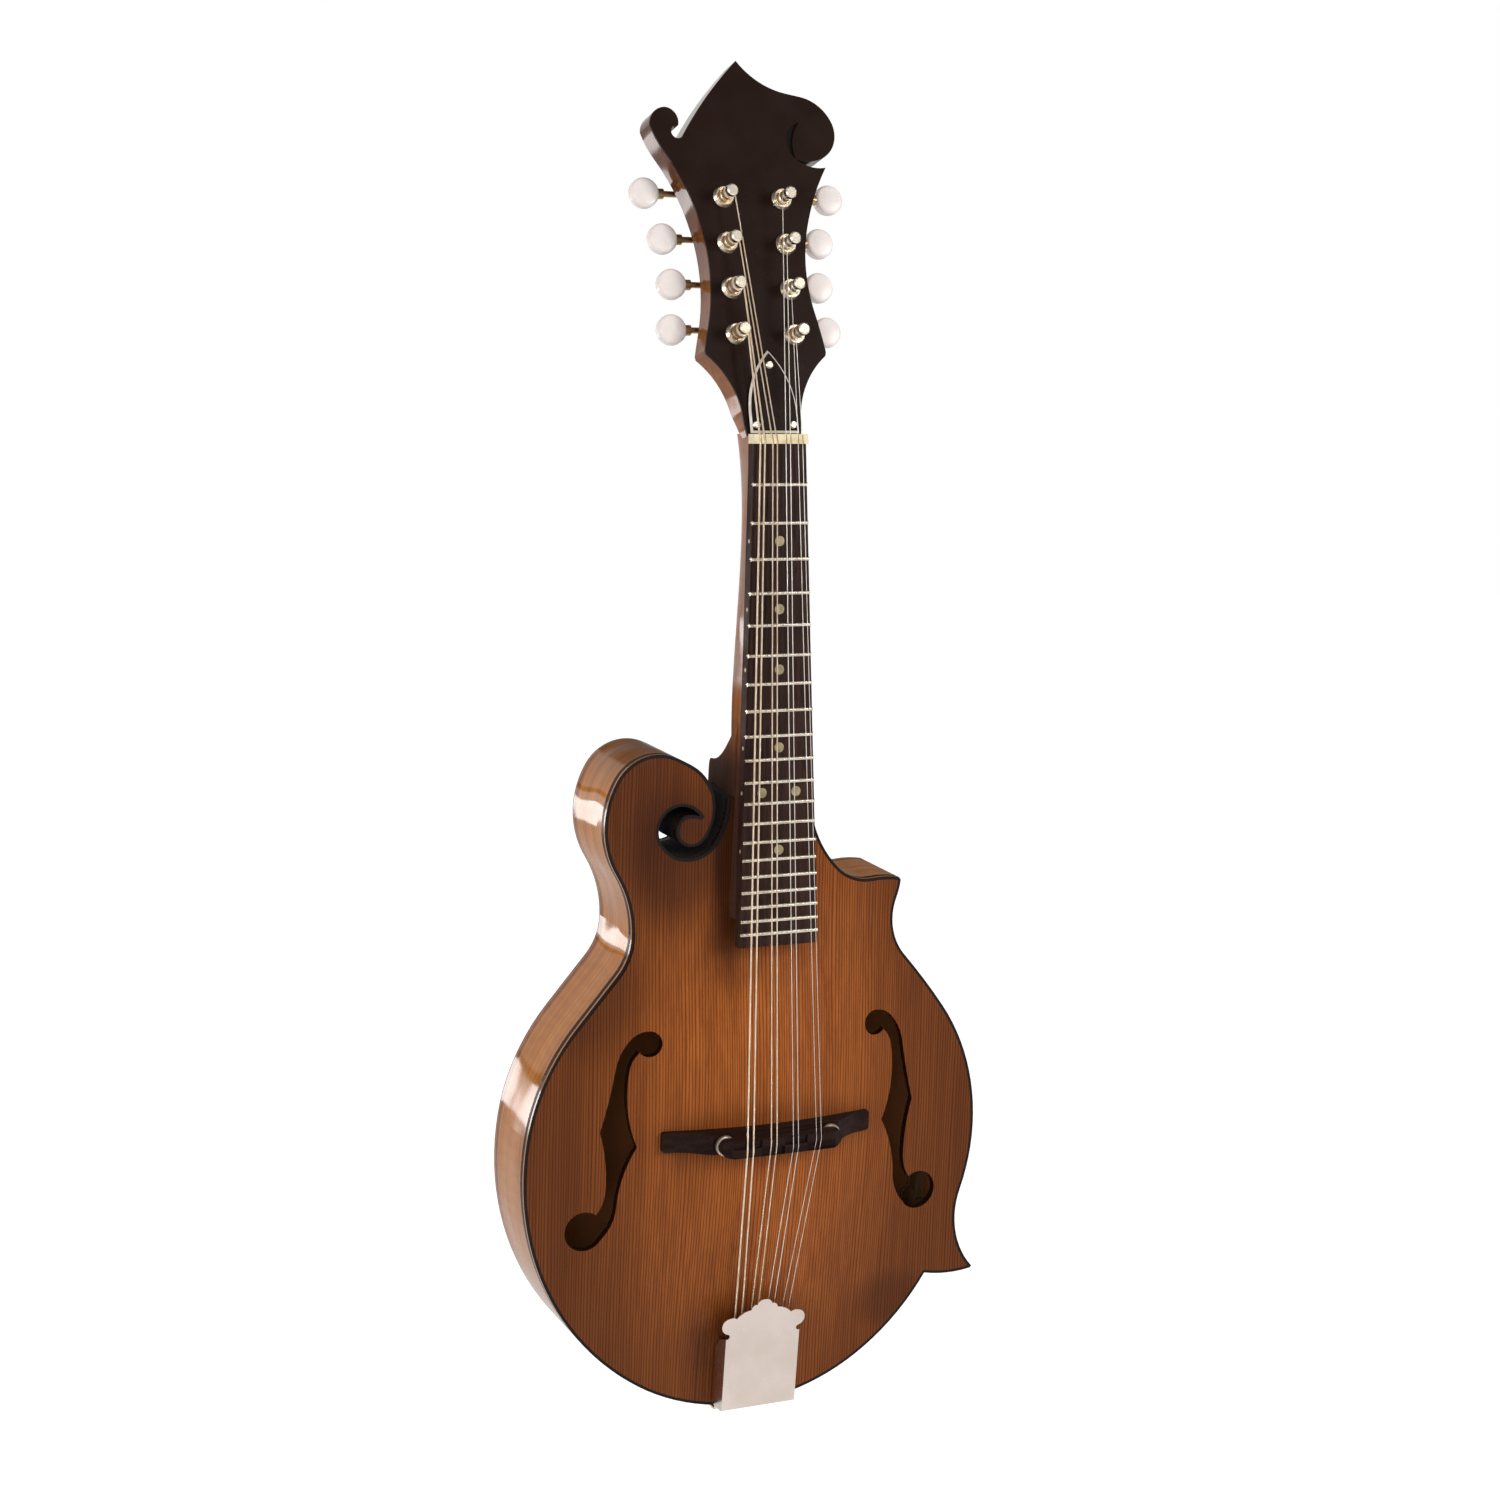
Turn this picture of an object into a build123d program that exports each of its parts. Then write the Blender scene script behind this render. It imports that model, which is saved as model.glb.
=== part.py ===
from build123d import *

import os
from math import acos, cos, hypot, pi, radians, sin, tan

os.makedirs("parts", exist_ok=True)

# An F-style mandolin: carved body with a scroll and two points, angled neck, geared tuners.
# Millimetres. +Z runs up the instrument, +X to the treble side, the front faces -Y.
# The origin is the middle of the nut's front edge, on the playing surface of the fingerboard,
# where the prongs of a wall hanger hold the neck.

# Overall layout
SCALE_LENGTH = 352.0          # nut to saddle that the frets are spaced for
FRET_COUNT = 20
NECK_TILT = 4.7               # the fingerboard leans back from the plane of the body's rim
HEAD_TILT = 13.1              # the head leans back from the fingerboard
RIM_FRONT = -3.9              # Y of the body's front rim
BODY_DATUM = -204.4           # Z of the 15th fret, which the body is drawn from
BODY_DEPTH = 44.7             # front rim to back rim

# Body
PLATE_EDGE = 5.0              # thickness of the carved plates where they meet the ribs
PLATE_WALL = 4.0              # thickness of the carved plates over the air chamber
RIB = 2.0
ARCH_RISE = 13.0
ARCH_HALF_WIDTH = 118.0
ARCH_HALF_LENGTH = 150.0
ARCH_CENTRE = -140.0
BINDING_WIDTH = 1.5
BINDING_DEPTH = 2.0
LINING_WIDTH = 5.0
LINING_DEPTH = 7.0
BLOCK_FACE = -30.0            # lower face of the head block
NECK_JOINT = 30.0             # upper edge of the body, where the heel meets it

# Fingerboard and nut
BOARD_THICKNESS = 6.0
BOARD_END = 247.6             # length of the fingerboard from the nut
NUT_WIDTH = 28.4
NUT_LENGTH = 4.7
NUT_HEIGHT = 2.3              # above the fingerboard
STRING_AT_NUT = 1.7           # height of the strings' axes above the fingerboard
FRET_WIDTH = 2.0
FRET_HEIGHT = 1.0
TANG_WIDTH = 0.6
TANG_DEPTH = 1.6
DOT_RADIUS = 2.5
SIDE_DOT_RADIUS = 1.0
DOT_DEPTH = 1.0

# Head and tuners
OVERLAY_DROP = 6.8            # face of the head below the fingerboard, at the nut
OVERLAY = 1.2
HEAD_THICKNESS = 13.5
POST_COLUMN = 15.7            # distance of the posts from the middle
POST_ROWS = (49.7, 72.6, 95.4, 118.3)
BUTTON_REACH = (42.0, 39.9, 42.5, 50.0)
WORM_OFFSET = 6.2             # worm axis above the post axis
WORM_DEPTH = 17.5             # worm axis behind the face of the head
POST_HEIGHT = 13.0
POST_FOOT = 2.0               # radius of the post's end, which carries the gear
WAIST_FROM, WAIST_TO = 4.6, 10.0
STRING_HOLE = 9.2             # height of the hole through the waist
BUSHING_SLEEVE = 4.3
BUSHING_DEPTH = 8.0
POST_CLEARANCE = 3.6          # radius of the bore behind the bushing
TUNER_PLATE = 1.0
PLATE_LOW, PLATE_HIGH = 38.5, 134.0
PLATE_MIDDLE, PLATE_WIDTH = 15.5, 14.0
EARS = (9.5, 20.0)            # inner faces of the two ears that carry a worm
EAR_WIDTH = 2.0
EAR_RADIUS = 3.0
COVER_THICKNESS = 2.0         # truss rod cover
TRUSS_ROD_RADIUS = 1.9
TRUSS_ROD_END = 158.0         # below the nut
TRUSS_SLOT = 8.0              # depth of its slot under the fingerboard
TRUSS_SLOT_WIDTH = 6.0
ROD_NUT_RADIUS = 2.7
POST_RADIUS = 3.0
WAIST_RADIUS = 2.5
GEAR_TEETH = 14
GEAR_RADIUS = 4.4
GEAR_ROOT = 3.5
GEAR_WIDTH = 3.0
SHAFT_RADIUS = 1.5
WORM_CORE = 1.65
END_PLAY = 0.15
COLLAR_RADIUS = 2.6           # of the ferrule that holds the button
BUTTON_RADIUS = 7.5
BUTTON_THICKNESS = 7.0
BUTTON_EDGE = 1.4
RUNNING_GAP = 0.06

# Bridge and tailpiece, in the body's own heights above the front rim
BRIDGE_Z = -141.6
BRIDGE_SHIFT = 1.0            # towards the treble side
BASE_LENGTH = 115.0
BASE_WIDTH = 10.5
BASE_TOP = 20.0
WHEEL_SPACING = 29.0
WHEEL_RADIUS = 5.2
WHEEL_THICKNESS = 2.4
WHEEL_LIFT = 1.7              # room to lower the saddle
SADDLE_TOP = 31.4
SADDLE_LENGTH = 66.8          # its ends are round, centred on the wheels
SADDLE_WIDTH = 8.8
SADDLE_BORE = 3.8             # depth of the bores for the posts
SADDLE_STEPS = {"g": -1, "d": 1, "a": -1, "e": 1}    # side of the crest each course crosses
SADDLE_STEP = 1.2
BRIDGE_POST = 1.6
POST_ENTRY = 2.2              # how far a post reaches into the saddle at rest
TAIL_Z = -292.3
TAILPIECE_WIDTH = 38.0
TAIL_PLATE = 1.2
COVER_WALL = 0.9
COVER_WIDTH = 41.2
COVER_LEAN = 3.9              # the cover falls a little towards the tail
COVER_FRONT, COVER_REAR = -225.2, -288.9
COVER_HEIGHT = 17.2           # at its front edge
COVER_FOOT = 1.8              # lower edge of its walls at the tail
COVER_BEND = 1.5
HOOK_Z = -262.0
HOOK_TOP = 9.0
HOOK_RADIUS = 0.9
HOOK_SHIFT = 1.0
HOOK_PITCH = 3.9
STRING_AT_HOOK = 6.6

# Strings: name, diameter, place across the nut, place across the saddle
STRINGS = (
    ("g1", 1.00, -11.3, -19.8),
    ("g2", 1.00, -8.9, -16.6),
    ("d1", 0.70, -4.7, -6.9),
    ("d2", 0.70, -2.3, -3.8),
    ("a1", 0.45, 2.3, 5.4),
    ("a2", 0.45, 4.7, 8.2),
    ("e1", 0.35, 8.9, 18.1),
    ("e2", 0.35, 11.3, 20.8),
)
STRING_ROWS = (0, 1, 2, 3, 3, 2, 1, 0)     # the row of the post each string winds on
WINDING_HEIGHT = 8.0          # above the face of the head
WINDING_FOOT = 5.4
NUT_CREST = 1.0               # where the strings cross the nut
NUT_BEND = 5.0
SADDLE_BEND = 3.0

# Screws and end pin
COVER_SCREWS = ((0, 34), (-9.8, 4.2), (9.8, 4.2))
PLATE_SCREWS = (41.5, 63.4, 86.2, 109.0, 130.5)
TAIL_SCREWS = ((-11, -14), (0, -12.5), (11, -14))
PIN_SHANK = 3.2
PIN_HEAD = 4.9
PIN_LENGTH = 2.8

POSTS = [(side * POST_COLUMN, row) for side in (-1, 1) for row in POST_ROWS]


def facing_front(origin, tilt):
    """A drawing plane seen from the front: x to the treble side, y up, z towards the viewer."""
    normal = (0, -cos(radians(tilt)), sin(radians(tilt)))
    return Plane(origin=origin, x_dir=(1, 0, 0), z_dir=normal)


BODY = facing_front((0, RIM_FRONT, BODY_DATUM), 0)
NECK = facing_front((0, 0, 0), NECK_TILT)
HEAD = facing_front(NECK.from_local_coords((0, NUT_LENGTH, -OVERLAY_DROP)), NECK_TILT + HEAD_TILT)
HEAD_NORMAL = Axis(HEAD.origin, HEAD.z_dir)
# The tail seen from below: x to the treble side, y to the front, from the outside of the tailpiece
TAIL_FACE = Plane(
    BODY.from_local_coords((0, TAIL_Z - TAIL_PLATE, 0)), x_dir=(1, 0, 0), z_dir=(0, 0, -1)
)


def across(plane, y, z=0.0):
    """A plane square to the length of plane, at its height y: x to the treble side, y to the back."""
    return Plane(origin=plane.from_local_coords((0, y, z)), x_dir=(1, 0, 0), z_dir=plane.y_dir)


def save(part, name):
    part.part.label = name
    export_step(part.part, f"parts/{name}.step")


def smooth_run(start, heading, turns, end=None):
    """Arcs that leave one another without a corner, as (radius, degrees), left turns positive.

    A radius of zero is a straight stretch of the given length. The last arc closes on end."""
    direction = (cos(radians(heading)), sin(radians(heading)))
    for radius, amount in turns:
        if radius:
            piece = JernArc(start=start, tangent=direction, radius=radius, arc_size=amount)
        else:
            piece = PolarLine(start=start, length=amount, direction=direction)
        start, direction = piece @ 1, piece % 1
    if end:
        TangentArc(start, end, tangent=direction)
    return start


def board_half_width(distance):
    """Half the fingerboard's width at a distance below the nut."""
    return 13.95 + 0.03 * distance


def fret_place(number):
    return SCALE_LENGTH * (1 - 2 ** (-number / 12))


# ---------------------------------------------------------------- body outlines

WAIST = (-71.9, -36.5)
TAIL = (0, TAIL_Z)
SLOT_TIP = (-37.0, 21.7)
LOWER_CORNER = (100.8, -234.2)
LOWER_POINT = ((128.3, -235.0), (129.3, -234.0))
UPPER_POINT = ((74.6, -16.4), (75.6, -17.8))
SHOULDER_ROOT = (21.6, NECK_JOINT)
SLOT_MOUTH = (-22.3, NECK_JOINT)

with BuildSketch() as outline:
    with BuildLine():
        # Bass side: from the waist down round the lower bout to the tail
        smooth_run(WAIST, -90, [(31.4, -39.7), (0, 31.9), (112.5, 31.3), (139.4, 65.6)], TAIL)
        # Treble side: round the tail to the lower point, and under the point
        smooth_run(TAIL, 0, [(114.1, 32.8)], LOWER_CORNER)
        smooth_run(LOWER_CORNER, -13.1, [], LOWER_POINT[0])
        Line(*LOWER_POINT)
        # From the upper point down the waist and the bout to the lower point
        smooth_run(
            UPPER_POINT[1], -95.7, [(38.3, -13.8), (30.8, 61.6), (377, -5.7), (113, -54.8)], LOWER_POINT[1]
        )
        Line(*UPPER_POINT)
        # The hollow shoulder between the neck and the upper point
        smooth_run(SHOULDER_ROOT, -77, [(100, -3.9), (58.4, 36.2), (24.6, 51.3)], UPPER_POINT[0])
        Line(SHOULDER_ROOT, SLOT_MOUTH)
        # The scroll: up from the waist, over the top and in round the curl
        smooth_run(
            WAIST, 90,
            [
                (58.5, 31.8), (46.5, -61.1), (24.0, -83.2), (77.8, -7.9), (25.3, -97.6), (8.4, -190.5),
                (4, -30),
            ],
            SLOT_TIP,
        )
        # The slot's outer wall, from the neck round the curl to its tip
        smooth_run(SLOT_MOUTH, -90, [(0, 1.3), (37.7, -31.2), (17.5, -118.6), (11.9, -162.0)], SLOT_TIP)
    make_face()


def inset(distance):
    """The body outline moved in from its edge."""
    with BuildSketch() as smaller:
        add(outline.sketch)
        offset(amount=-distance, kind=Kind.ARC)
    return smaller.sketch


with BuildSketch() as binding_line:
    add(outline.sketch)
    add(inset(BINDING_WIDTH), mode=Mode.SUBTRACT)
    # the binding stops at the neck
    with Locations((0, NECK_JOINT)):
        Rectangle(42, 5, mode=Mode.SUBTRACT)

inside_ribs = inset(RIB)

# Each rib is a stretch of the wall, mitred at the points
POINT_MITRES = ((138.3, -237.8), (70.0, -214.3), (57.9, -41.7), (79.7, -10.5))
RIB_STRETCHES = {
    "rib_bass": [(0, -150), (0, -310), (-140, -310), (-140, -20), (-60, -20), (-60, -150)],
    "rib_tail": [(0, -214.3), (0, -310), (138.3, -310), POINT_MITRES[0], POINT_MITRES[1]],
    "rib_treble": [*POINT_MITRES, (145, -10.5), (145, -237.8)],
    "rib_shoulder": [POINT_MITRES[3], POINT_MITRES[2], (15, -20), (15, 26), (79.7, 26)],
}


def rib_line(stretch):
    with BuildSketch() as line:
        add(outline.sketch)
        add(inside_ribs, mode=Mode.SUBTRACT)
        with BuildLine():
            Polyline(*stretch, close=True)
        make_face(mode=Mode.INTERSECT)
    return line.sketch


rib_lines = {name: rib_line(stretch) for name, stretch in RIB_STRETCHES.items()}

with BuildSketch() as head_block_line:
    add(outline.sketch)
    with Locations((0, BLOCK_FACE)):
        Rectangle(300, 200, align=(Align.CENTER, Align.MIN), mode=Mode.INTERSECT)
    for line in rib_lines.values():
        add(line, mode=Mode.SUBTRACT)

with BuildSketch() as tail_block_line:
    add(inside_ribs)
    with Locations((0, TAIL_Z)):
        Rectangle(64, 44, mode=Mode.INTERSECT)

with BuildSketch() as point_block_line:
    add(inside_ribs)
    with BuildLine():
        Polyline((100, -260), (112, -205), (145, -205), (145, -260), close=True)
    make_face(mode=Mode.INTERSECT)

with BuildSketch() as chamber:
    add(inside_ribs)
    with Locations((0, BLOCK_FACE)):
        Rectangle(300, 400, align=(Align.CENTER, Align.MAX), mode=Mode.INTERSECT)
    add(tail_block_line.sketch, mode=Mode.SUBTRACT)
    add(point_block_line.sketch, mode=Mode.SUBTRACT)

with BuildSketch() as lining_line:
    add(chamber.sketch)
    offset(amount=-LINING_WIDTH, kind=Kind.ARC)
with BuildSketch() as lining_ring:
    add(chamber.sketch)
    add(lining_line.sketch, mode=Mode.SUBTRACT)
    # no lining along the faces of the head and tail blocks
    with Locations((0, BLOCK_FACE)):
        Rectangle(120, 2 * LINING_WIDTH, mode=Mode.SUBTRACT)
    with Locations((0, TAIL_Z + 22)):
        Rectangle(54, 2 * LINING_WIDTH, mode=Mode.SUBTRACT)

with BuildSketch() as pocket_line:
    add(lining_line.sketch)
    offset(amount=-1.0, kind=Kind.ARC)


# ---------------------------------------------------------------- screws and end pin


def cylinders(plane, places, radius, length, taper=0):
    """Round pieces of one length, standing on a plane."""
    with BuildPart() as group:
        with BuildSketch(plane):
            with Locations(*places):
                Circle(radius)
        extrude(amount=length, taper=taper)
    return group.part


plate_screw_places = [(side * POST_COLUMN, row) for side in (-1, 1) for row in PLATE_SCREWS]
PLATE_BACK = HEAD.from_local_coords((0, 0, -HEAD_THICKNESS - TUNER_PLATE))
BEHIND_PLATES = Plane(PLATE_BACK, x_dir=(-1, 0, 0), z_dir=-HEAD.z_dir)
with BuildPart() as head_shanks:
    add(cylinders(HEAD.offset(COVER_THICKNESS), COVER_SCREWS, 0.9, -10))
    add(cylinders(BEHIND_PLATES, plate_screw_places, 0.8, -5.5))
tail_shanks = cylinders(TAIL_FACE, TAIL_SCREWS, 1.0, -10)

with BuildPart() as small_screws:
    add(head_shanks.part)
    add(tail_shanks)
    add(cylinders(HEAD.offset(COVER_THICKNESS), COVER_SCREWS, 2.0, 0.9, 30))
    add(cylinders(BEHIND_PLATES, plate_screw_places, 1.6, 0.8, 30))
    add(cylinders(TAIL_FACE, TAIL_SCREWS, 2.0, 0.9, 30))
save(small_screws, "small_screws")

pin_place = (0, -BODY_DEPTH / 2)
pin_shank = cylinders(TAIL_FACE, [pin_place], PIN_SHANK, -20)
with BuildPart() as end_pin:
    add(pin_shank)
    add(cylinders(TAIL_FACE, [pin_place], PIN_HEAD, PIN_LENGTH))
    fillet(end_pin.edges().sort_by(Axis.Z)[0], 1.0)
save(end_pin, "end_pin")


# ---------------------------------------------------------------- carved plates


def arch_height(x, z):
    """Height of the carved arch over the rim: a bell that flattens out at the edge."""
    reach = min(1.0, hypot(x / ARCH_HALF_WIDTH, (z - ARCH_CENTRE) / ARCH_HALF_LENGTH))
    return ARCH_RISE * (1 + cos(pi * reach)) / 2


def arch_solid(rim_y, outward, thickness):
    """What lies beyond the arched surface, thickness deep; outward is -1 to the front, +1 to the back."""
    columns = [-140 + 20 * i for i in range(15)]
    rows = [-310 + 20 * i for i in range(20)]
    points = [
        [(x, rim_y + outward * arch_height(x, z), BODY_DATUM + z) for x in columns]
        for z in rows
    ]
    surface = Face.make_surface_from_array_of_points(points, tol=0.02, min_deg=3, max_deg=5)
    return Solid.extrude(surface, Vector(0, outward * thickness, 0))


BACK_RIM = RIM_FRONT + BODY_DEPTH
front_air = arch_solid(RIM_FRONT, -1, 30)
back_air = arch_solid(BACK_RIM, 1, 30)


def plate_joint(rim_y, outward):
    """The plane in which a plate meets the ribs."""
    return Plane((0, rim_y - outward * PLATE_EDGE, BODY_DATUM), x_dir=(1, 0, 0), z_dir=(0, -1, 0))


def carved_plate(rim_y, outward, air):
    """A solid plate of the full outline, flat inside and arched outside."""
    with BuildPart() as plate:
        with BuildSketch(plate_joint(rim_y, outward)):
            add(outline.sketch)
        extrude(amount=-outward * (PLATE_EDGE + ARCH_RISE + 2))
        add(air, mode=Mode.SUBTRACT)
    return plate.part


def pocket(rim_y, outward, air):
    """The hollow that leaves the plate PLATE_WALL thick over the air chamber."""
    with BuildPart() as hollow:
        with BuildSketch(plate_joint(rim_y, outward)):
            add(pocket_line.sketch)
        extrude(amount=-outward * (PLATE_EDGE + ARCH_RISE))
        add(air.moved(Location((0, -outward * PLATE_WALL, 0))), mode=Mode.SUBTRACT)
    return hollow.part


front_envelope = carved_plate(RIM_FRONT, -1, front_air)
back_envelope = carved_plate(BACK_RIM, 1, back_air)


def sound_hole():
    """The treble f-hole: two eyes joined by a stem with a notch on each side."""
    upper_eye, upper_radius = (62.6, -91.3), 6.5
    lower_eye, lower_radius = (93.6, -186.6), 10.2
    outer_notch, inner_notch = (87.0, -135.2), (68.2, -144.0)
    with BuildSketch() as hole:
        with BuildLine():
            smooth_run((63.3, -84.8), 0, [(12.2, -44.9), (27.5, -35.3)], outer_notch)
            smooth_run(outer_notch, -105.9, [(97.5, 18.6)], (87.4, -178.0))
            Line((87.4, -178.0), (92.3, -196.9))
            smooth_run(inner_notch, -59.8, [(69.8, -27.2)], (92.3, -196.9))
            smooth_run((68.0, -95.8), -41.6, [(14.2, -37.9)], inner_notch)
            Line((68.0, -95.8), (63.3, -84.8))
        make_face()
        with Locations(upper_eye):
            Circle(upper_radius)
        with Locations(lower_eye):
            Circle(lower_radius)
    return hole.sketch


with BuildPart() as top_plate:
    add(front_envelope)
    add(pocket(RIM_FRONT, -1, front_air), mode=Mode.SUBTRACT)
    with BuildSketch(BODY.offset(-BINDING_DEPTH)):
        add(binding_line.sketch)
    extrude(amount=BINDING_DEPTH + 2, mode=Mode.SUBTRACT)
    with BuildSketch(BODY.offset(-PLATE_EDGE - 1)):
        add(sound_hole())
        mirror(sound_hole(), about=Plane.YZ)
    extrude(amount=PLATE_EDGE + ARCH_RISE + 3, mode=Mode.SUBTRACT)
save(top_plate, "top_plate")

BACK = BODY.offset(-BODY_DEPTH)
with BuildPart() as back_plate:
    add(back_envelope)
    add(pocket(BACK_RIM, 1, back_air), mode=Mode.SUBTRACT)
    with BuildSketch(BACK.offset(BINDING_DEPTH)):
        add(binding_line.sketch)
    extrude(amount=-BINDING_DEPTH - 2, mode=Mode.SUBTRACT)
save(back_plate, "back_plate")

for name, level in (("top_binding", -BINDING_DEPTH), ("back_binding", -BODY_DEPTH)):
    with BuildPart() as binding:
        with BuildSketch(BODY.offset(level)):
            add(binding_line.sketch)
        extrude(amount=BINDING_DEPTH)
    save(binding, name)


# ---------------------------------------------------------------- ribs, blocks, linings, bars

WALL_HEIGHT = BODY_DEPTH - 2 * PLATE_EDGE


def wall(sketch, level=-BODY_DEPTH + PLATE_EDGE, height=WALL_HEIGHT):
    """Stands a sketch up between the plates."""
    with BuildPart() as piece:
        with BuildSketch(BODY.offset(level)):
            add(sketch)
        extrude(amount=height)
    return piece


for name, line in rib_lines.items():
    with BuildPart() as rib:
        add(wall(line).part)
        add(tail_shanks, mode=Mode.SUBTRACT)
        add(pin_shank, mode=Mode.SUBTRACT)
    save(rib, name)

TENON = (20.0, 24.0, 33.0)   # width, length into the block, depth below the top plate

with BuildPart() as head_block:
    add(wall(head_block_line.sketch).part)
    with BuildSketch(BODY.offset(-PLATE_EDGE - TENON[2])):
        with Locations((0, NECK_JOINT)):
            Rectangle(TENON[0], 2 * TENON[1])
    extrude(amount=TENON[2], mode=Mode.SUBTRACT)
save(head_block, "head_block")
with BuildPart() as tail_block:
    add(wall(tail_block_line.sketch).part)
    add(tail_shanks, mode=Mode.SUBTRACT)
    add(pin_shank, mode=Mode.SUBTRACT)
save(tail_block, "tail_block")
save(wall(point_block_line.sketch), "point_block")

with BuildPart() as linings:
    add(wall(lining_ring.sketch, -PLATE_EDGE - LINING_DEPTH, LINING_DEPTH).part)
    add(wall(lining_ring.sketch, -BODY_DEPTH + PLATE_EDGE, LINING_DEPTH).part)
save(linings, "linings")

# Two tone bars under the top, fitted to its arch
with BuildPart() as tone_bars:
    with BuildSketch(BODY.offset(-PLATE_EDGE - 4)):
        with Locations(Location((-24, -140, 0), 3.0), Location((24, -140, 0), -3.0)):
            Rectangle(6, 190)
    extrude(amount=ARCH_RISE + 9)
    add(front_air.moved(Location((0, PLATE_WALL, 0))), mode=Mode.SUBTRACT)
save(tone_bars, "tone_bars")


# ---------------------------------------------------------------- neck and head


def mirrored_x(points):
    return [(-x, y) for x, y in points]


PEAK = (-1.9, 188.2)
EAR_SLOT = (26.2, 139.2)
EAR_TIP = (42.1, 135.7)
CORNER_RIGHT = ((32.4, 41.4), (31.9, 39.4))
CORNER_LEFT = ((-32.6, 41.4), (-32.3, 39.6))
CURL_FOOT = (-50.9, 153.6)
NOTCH = ((-36.0, 153.6), (-33.6, 149.3))
HEAD_FOOT = -1.0

with BuildSketch() as head_outline:
    with BuildLine():
        smooth_run(PEAK, -52.5, [(40.7, 43.0), (0, 8.1), (21.5, -53.9), (14.5, -100.2)], EAR_SLOT)
        smooth_run(EAR_SLOT, -36.4, [], EAR_TIP)
        smooth_run(EAR_TIP, -121.2, [(120.8, 16.1), (86.7, 29.4)], CORNER_RIGHT[0])
        Line(*CORNER_RIGHT)
        smooth_run(CORNER_RIGHT[1], -141.3, [(44.9, 48.0)], (14.4, HEAD_FOOT))
        Line((14.4, HEAD_FOOT), (-14.4, HEAD_FOOT))
        smooth_run(CORNER_LEFT[1], -38.7, [(44.9, -48.0)], (-14.4, HEAD_FOOT))
        Line(*CORNER_LEFT)
        smooth_run(CURL_FOOT, -74.3, [(42.0, 19.0), (106.4, -49.7)], CORNER_LEFT[0])
        ThreePointArc(CURL_FOOT, (-48.2, 160.0), (-42.1, 162.6))
        ThreePointArc((-42.1, 162.6), (-36.7, 159.3), NOTCH[0])
        ThreePointArc(NOTCH[0], (-39.9, 149.6), NOTCH[1])
        ThreePointArc(NOTCH[1], (-17.1, 171.8), PEAK)
    make_face()

# The crescent carved beside the ear continues the slot as a groove
with BuildSketch() as crescent:
    with BuildLine():
        ThreePointArc((26.0, 139.6), (21.8, 149.0), (29.6, 158.3))
        ThreePointArc((26.0, 139.6), (25.2, 149.2), (29.6, 158.3))
    make_face()

with BuildSketch() as cover_outline:
    with BuildLine():
        TangentArc((-13.0, 10), (0, 41.5), tangent=(0, 1))
        TangentArc((13.0, 10), (0, 41.5), tangent=(0, 1))
        Polyline((-13.0, 10), (-13.0, 0.2), (13.0, 0.2), (13.0, 10))
    make_face()

CHANNEL_WIDTH, CHANNEL_END, CHANNEL_DEPTH = 9.0, 27.0, 8.5   # in the head, under its cover


def d_section(y, half_width, depth, fullness):
    """A neck section at a distance from the nut: flat under the fingerboard, round behind."""
    side = half_width * fullness
    back = depth * fullness
    with BuildSketch(across(NECK, y, -BOARD_THICKNESS)) as section:
        with BuildLine():
            Spline(
                (half_width, 0), (side, back), (0, depth), (-side, back), (-half_width, 0),
                tangents=((0, 1), (0, -1)),
            )
            Line((-half_width, 0), (half_width, 0))
        make_face()
    return section.sketch


def heel_section(level, half_width, length):
    """A heel section at a depth of the body: square to the joint, rounded towards the neck."""
    with BuildSketch(BODY.offset(level)) as section:
        with BuildLine():
            Spline(
                (half_width, NECK_JOINT), (half_width * 0.78, NECK_JOINT + length * 0.72),
                (0, NECK_JOINT + length),
                (-half_width * 0.78, NECK_JOINT + length * 0.72), (-half_width, NECK_JOINT),
                tangents=((0, 1), (0, -1)),
            )
            Line((-half_width, NECK_JOINT), (half_width, NECK_JOINT))
        make_face()
    return section.sketch


# Distance from the nut, half width, depth and fullness
SHAFT_SECTIONS = (
    (NUT_LENGTH, 14.2, 13.6, 0.86), (-15, 14.3, 14.0, 0.75),
    (-80, 16.2, 15.0, 0.73), (-160, 18.6, 16.5, 0.73),
)
# Height above the front rim, half width and reach along the neck
HEEL_SECTIONS = (
    (-1.0, 19.2, 62.0), (-12, 18.6, 46.0), (-22, 17.2, 31.0), (-34, 15.4, 19.5),
    (-BODY_DEPTH, 14.4, 15.5),
)
RISER_FROM, RISER_TO = 160.0, 234.0     # distances below the nut
RISER_INSET = 0.2                       # the riser is this much narrower than the board, each side

with BuildPart() as shaft:
    for section in SHAFT_SECTIONS:
        add(d_section(*section))
    loft()
with BuildPart() as heel:
    for section in HEEL_SECTIONS:
        add(heel_section(*section))
    loft()

# The back corners of the head's foot are carved down to the round of the neck
FOOT_CARVING = (
    (HEAD_FOOT - 0.2, ((15.0, 4.5), (15.0, HEAD_THICKNESS + 0.5), (10.6, HEAD_THICKNESS + 0.5))),
    (24.0, ((22.0, 13.0), (22.0, HEAD_THICKNESS + 0.5), (19.6, HEAD_THICKNESS + 0.5))),
)
with BuildPart() as head_core:
    with BuildSketch(HEAD.offset(-HEAD_THICKNESS)):
        add(head_outline.sketch)
    extrude(amount=HEAD_THICKNESS - OVERLAY)
    for side in (-1, 1):
        with BuildPart(mode=Mode.PRIVATE) as carving:
            for height, corners in FOOT_CARVING:
                with BuildSketch(across(HEAD, height)):
                    with BuildLine():
                        Polyline(*[(side * x, depth) for x, depth in corners], close=True)
                    make_face()
            loft()
        add(carving.part, mode=Mode.SUBTRACT)

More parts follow.
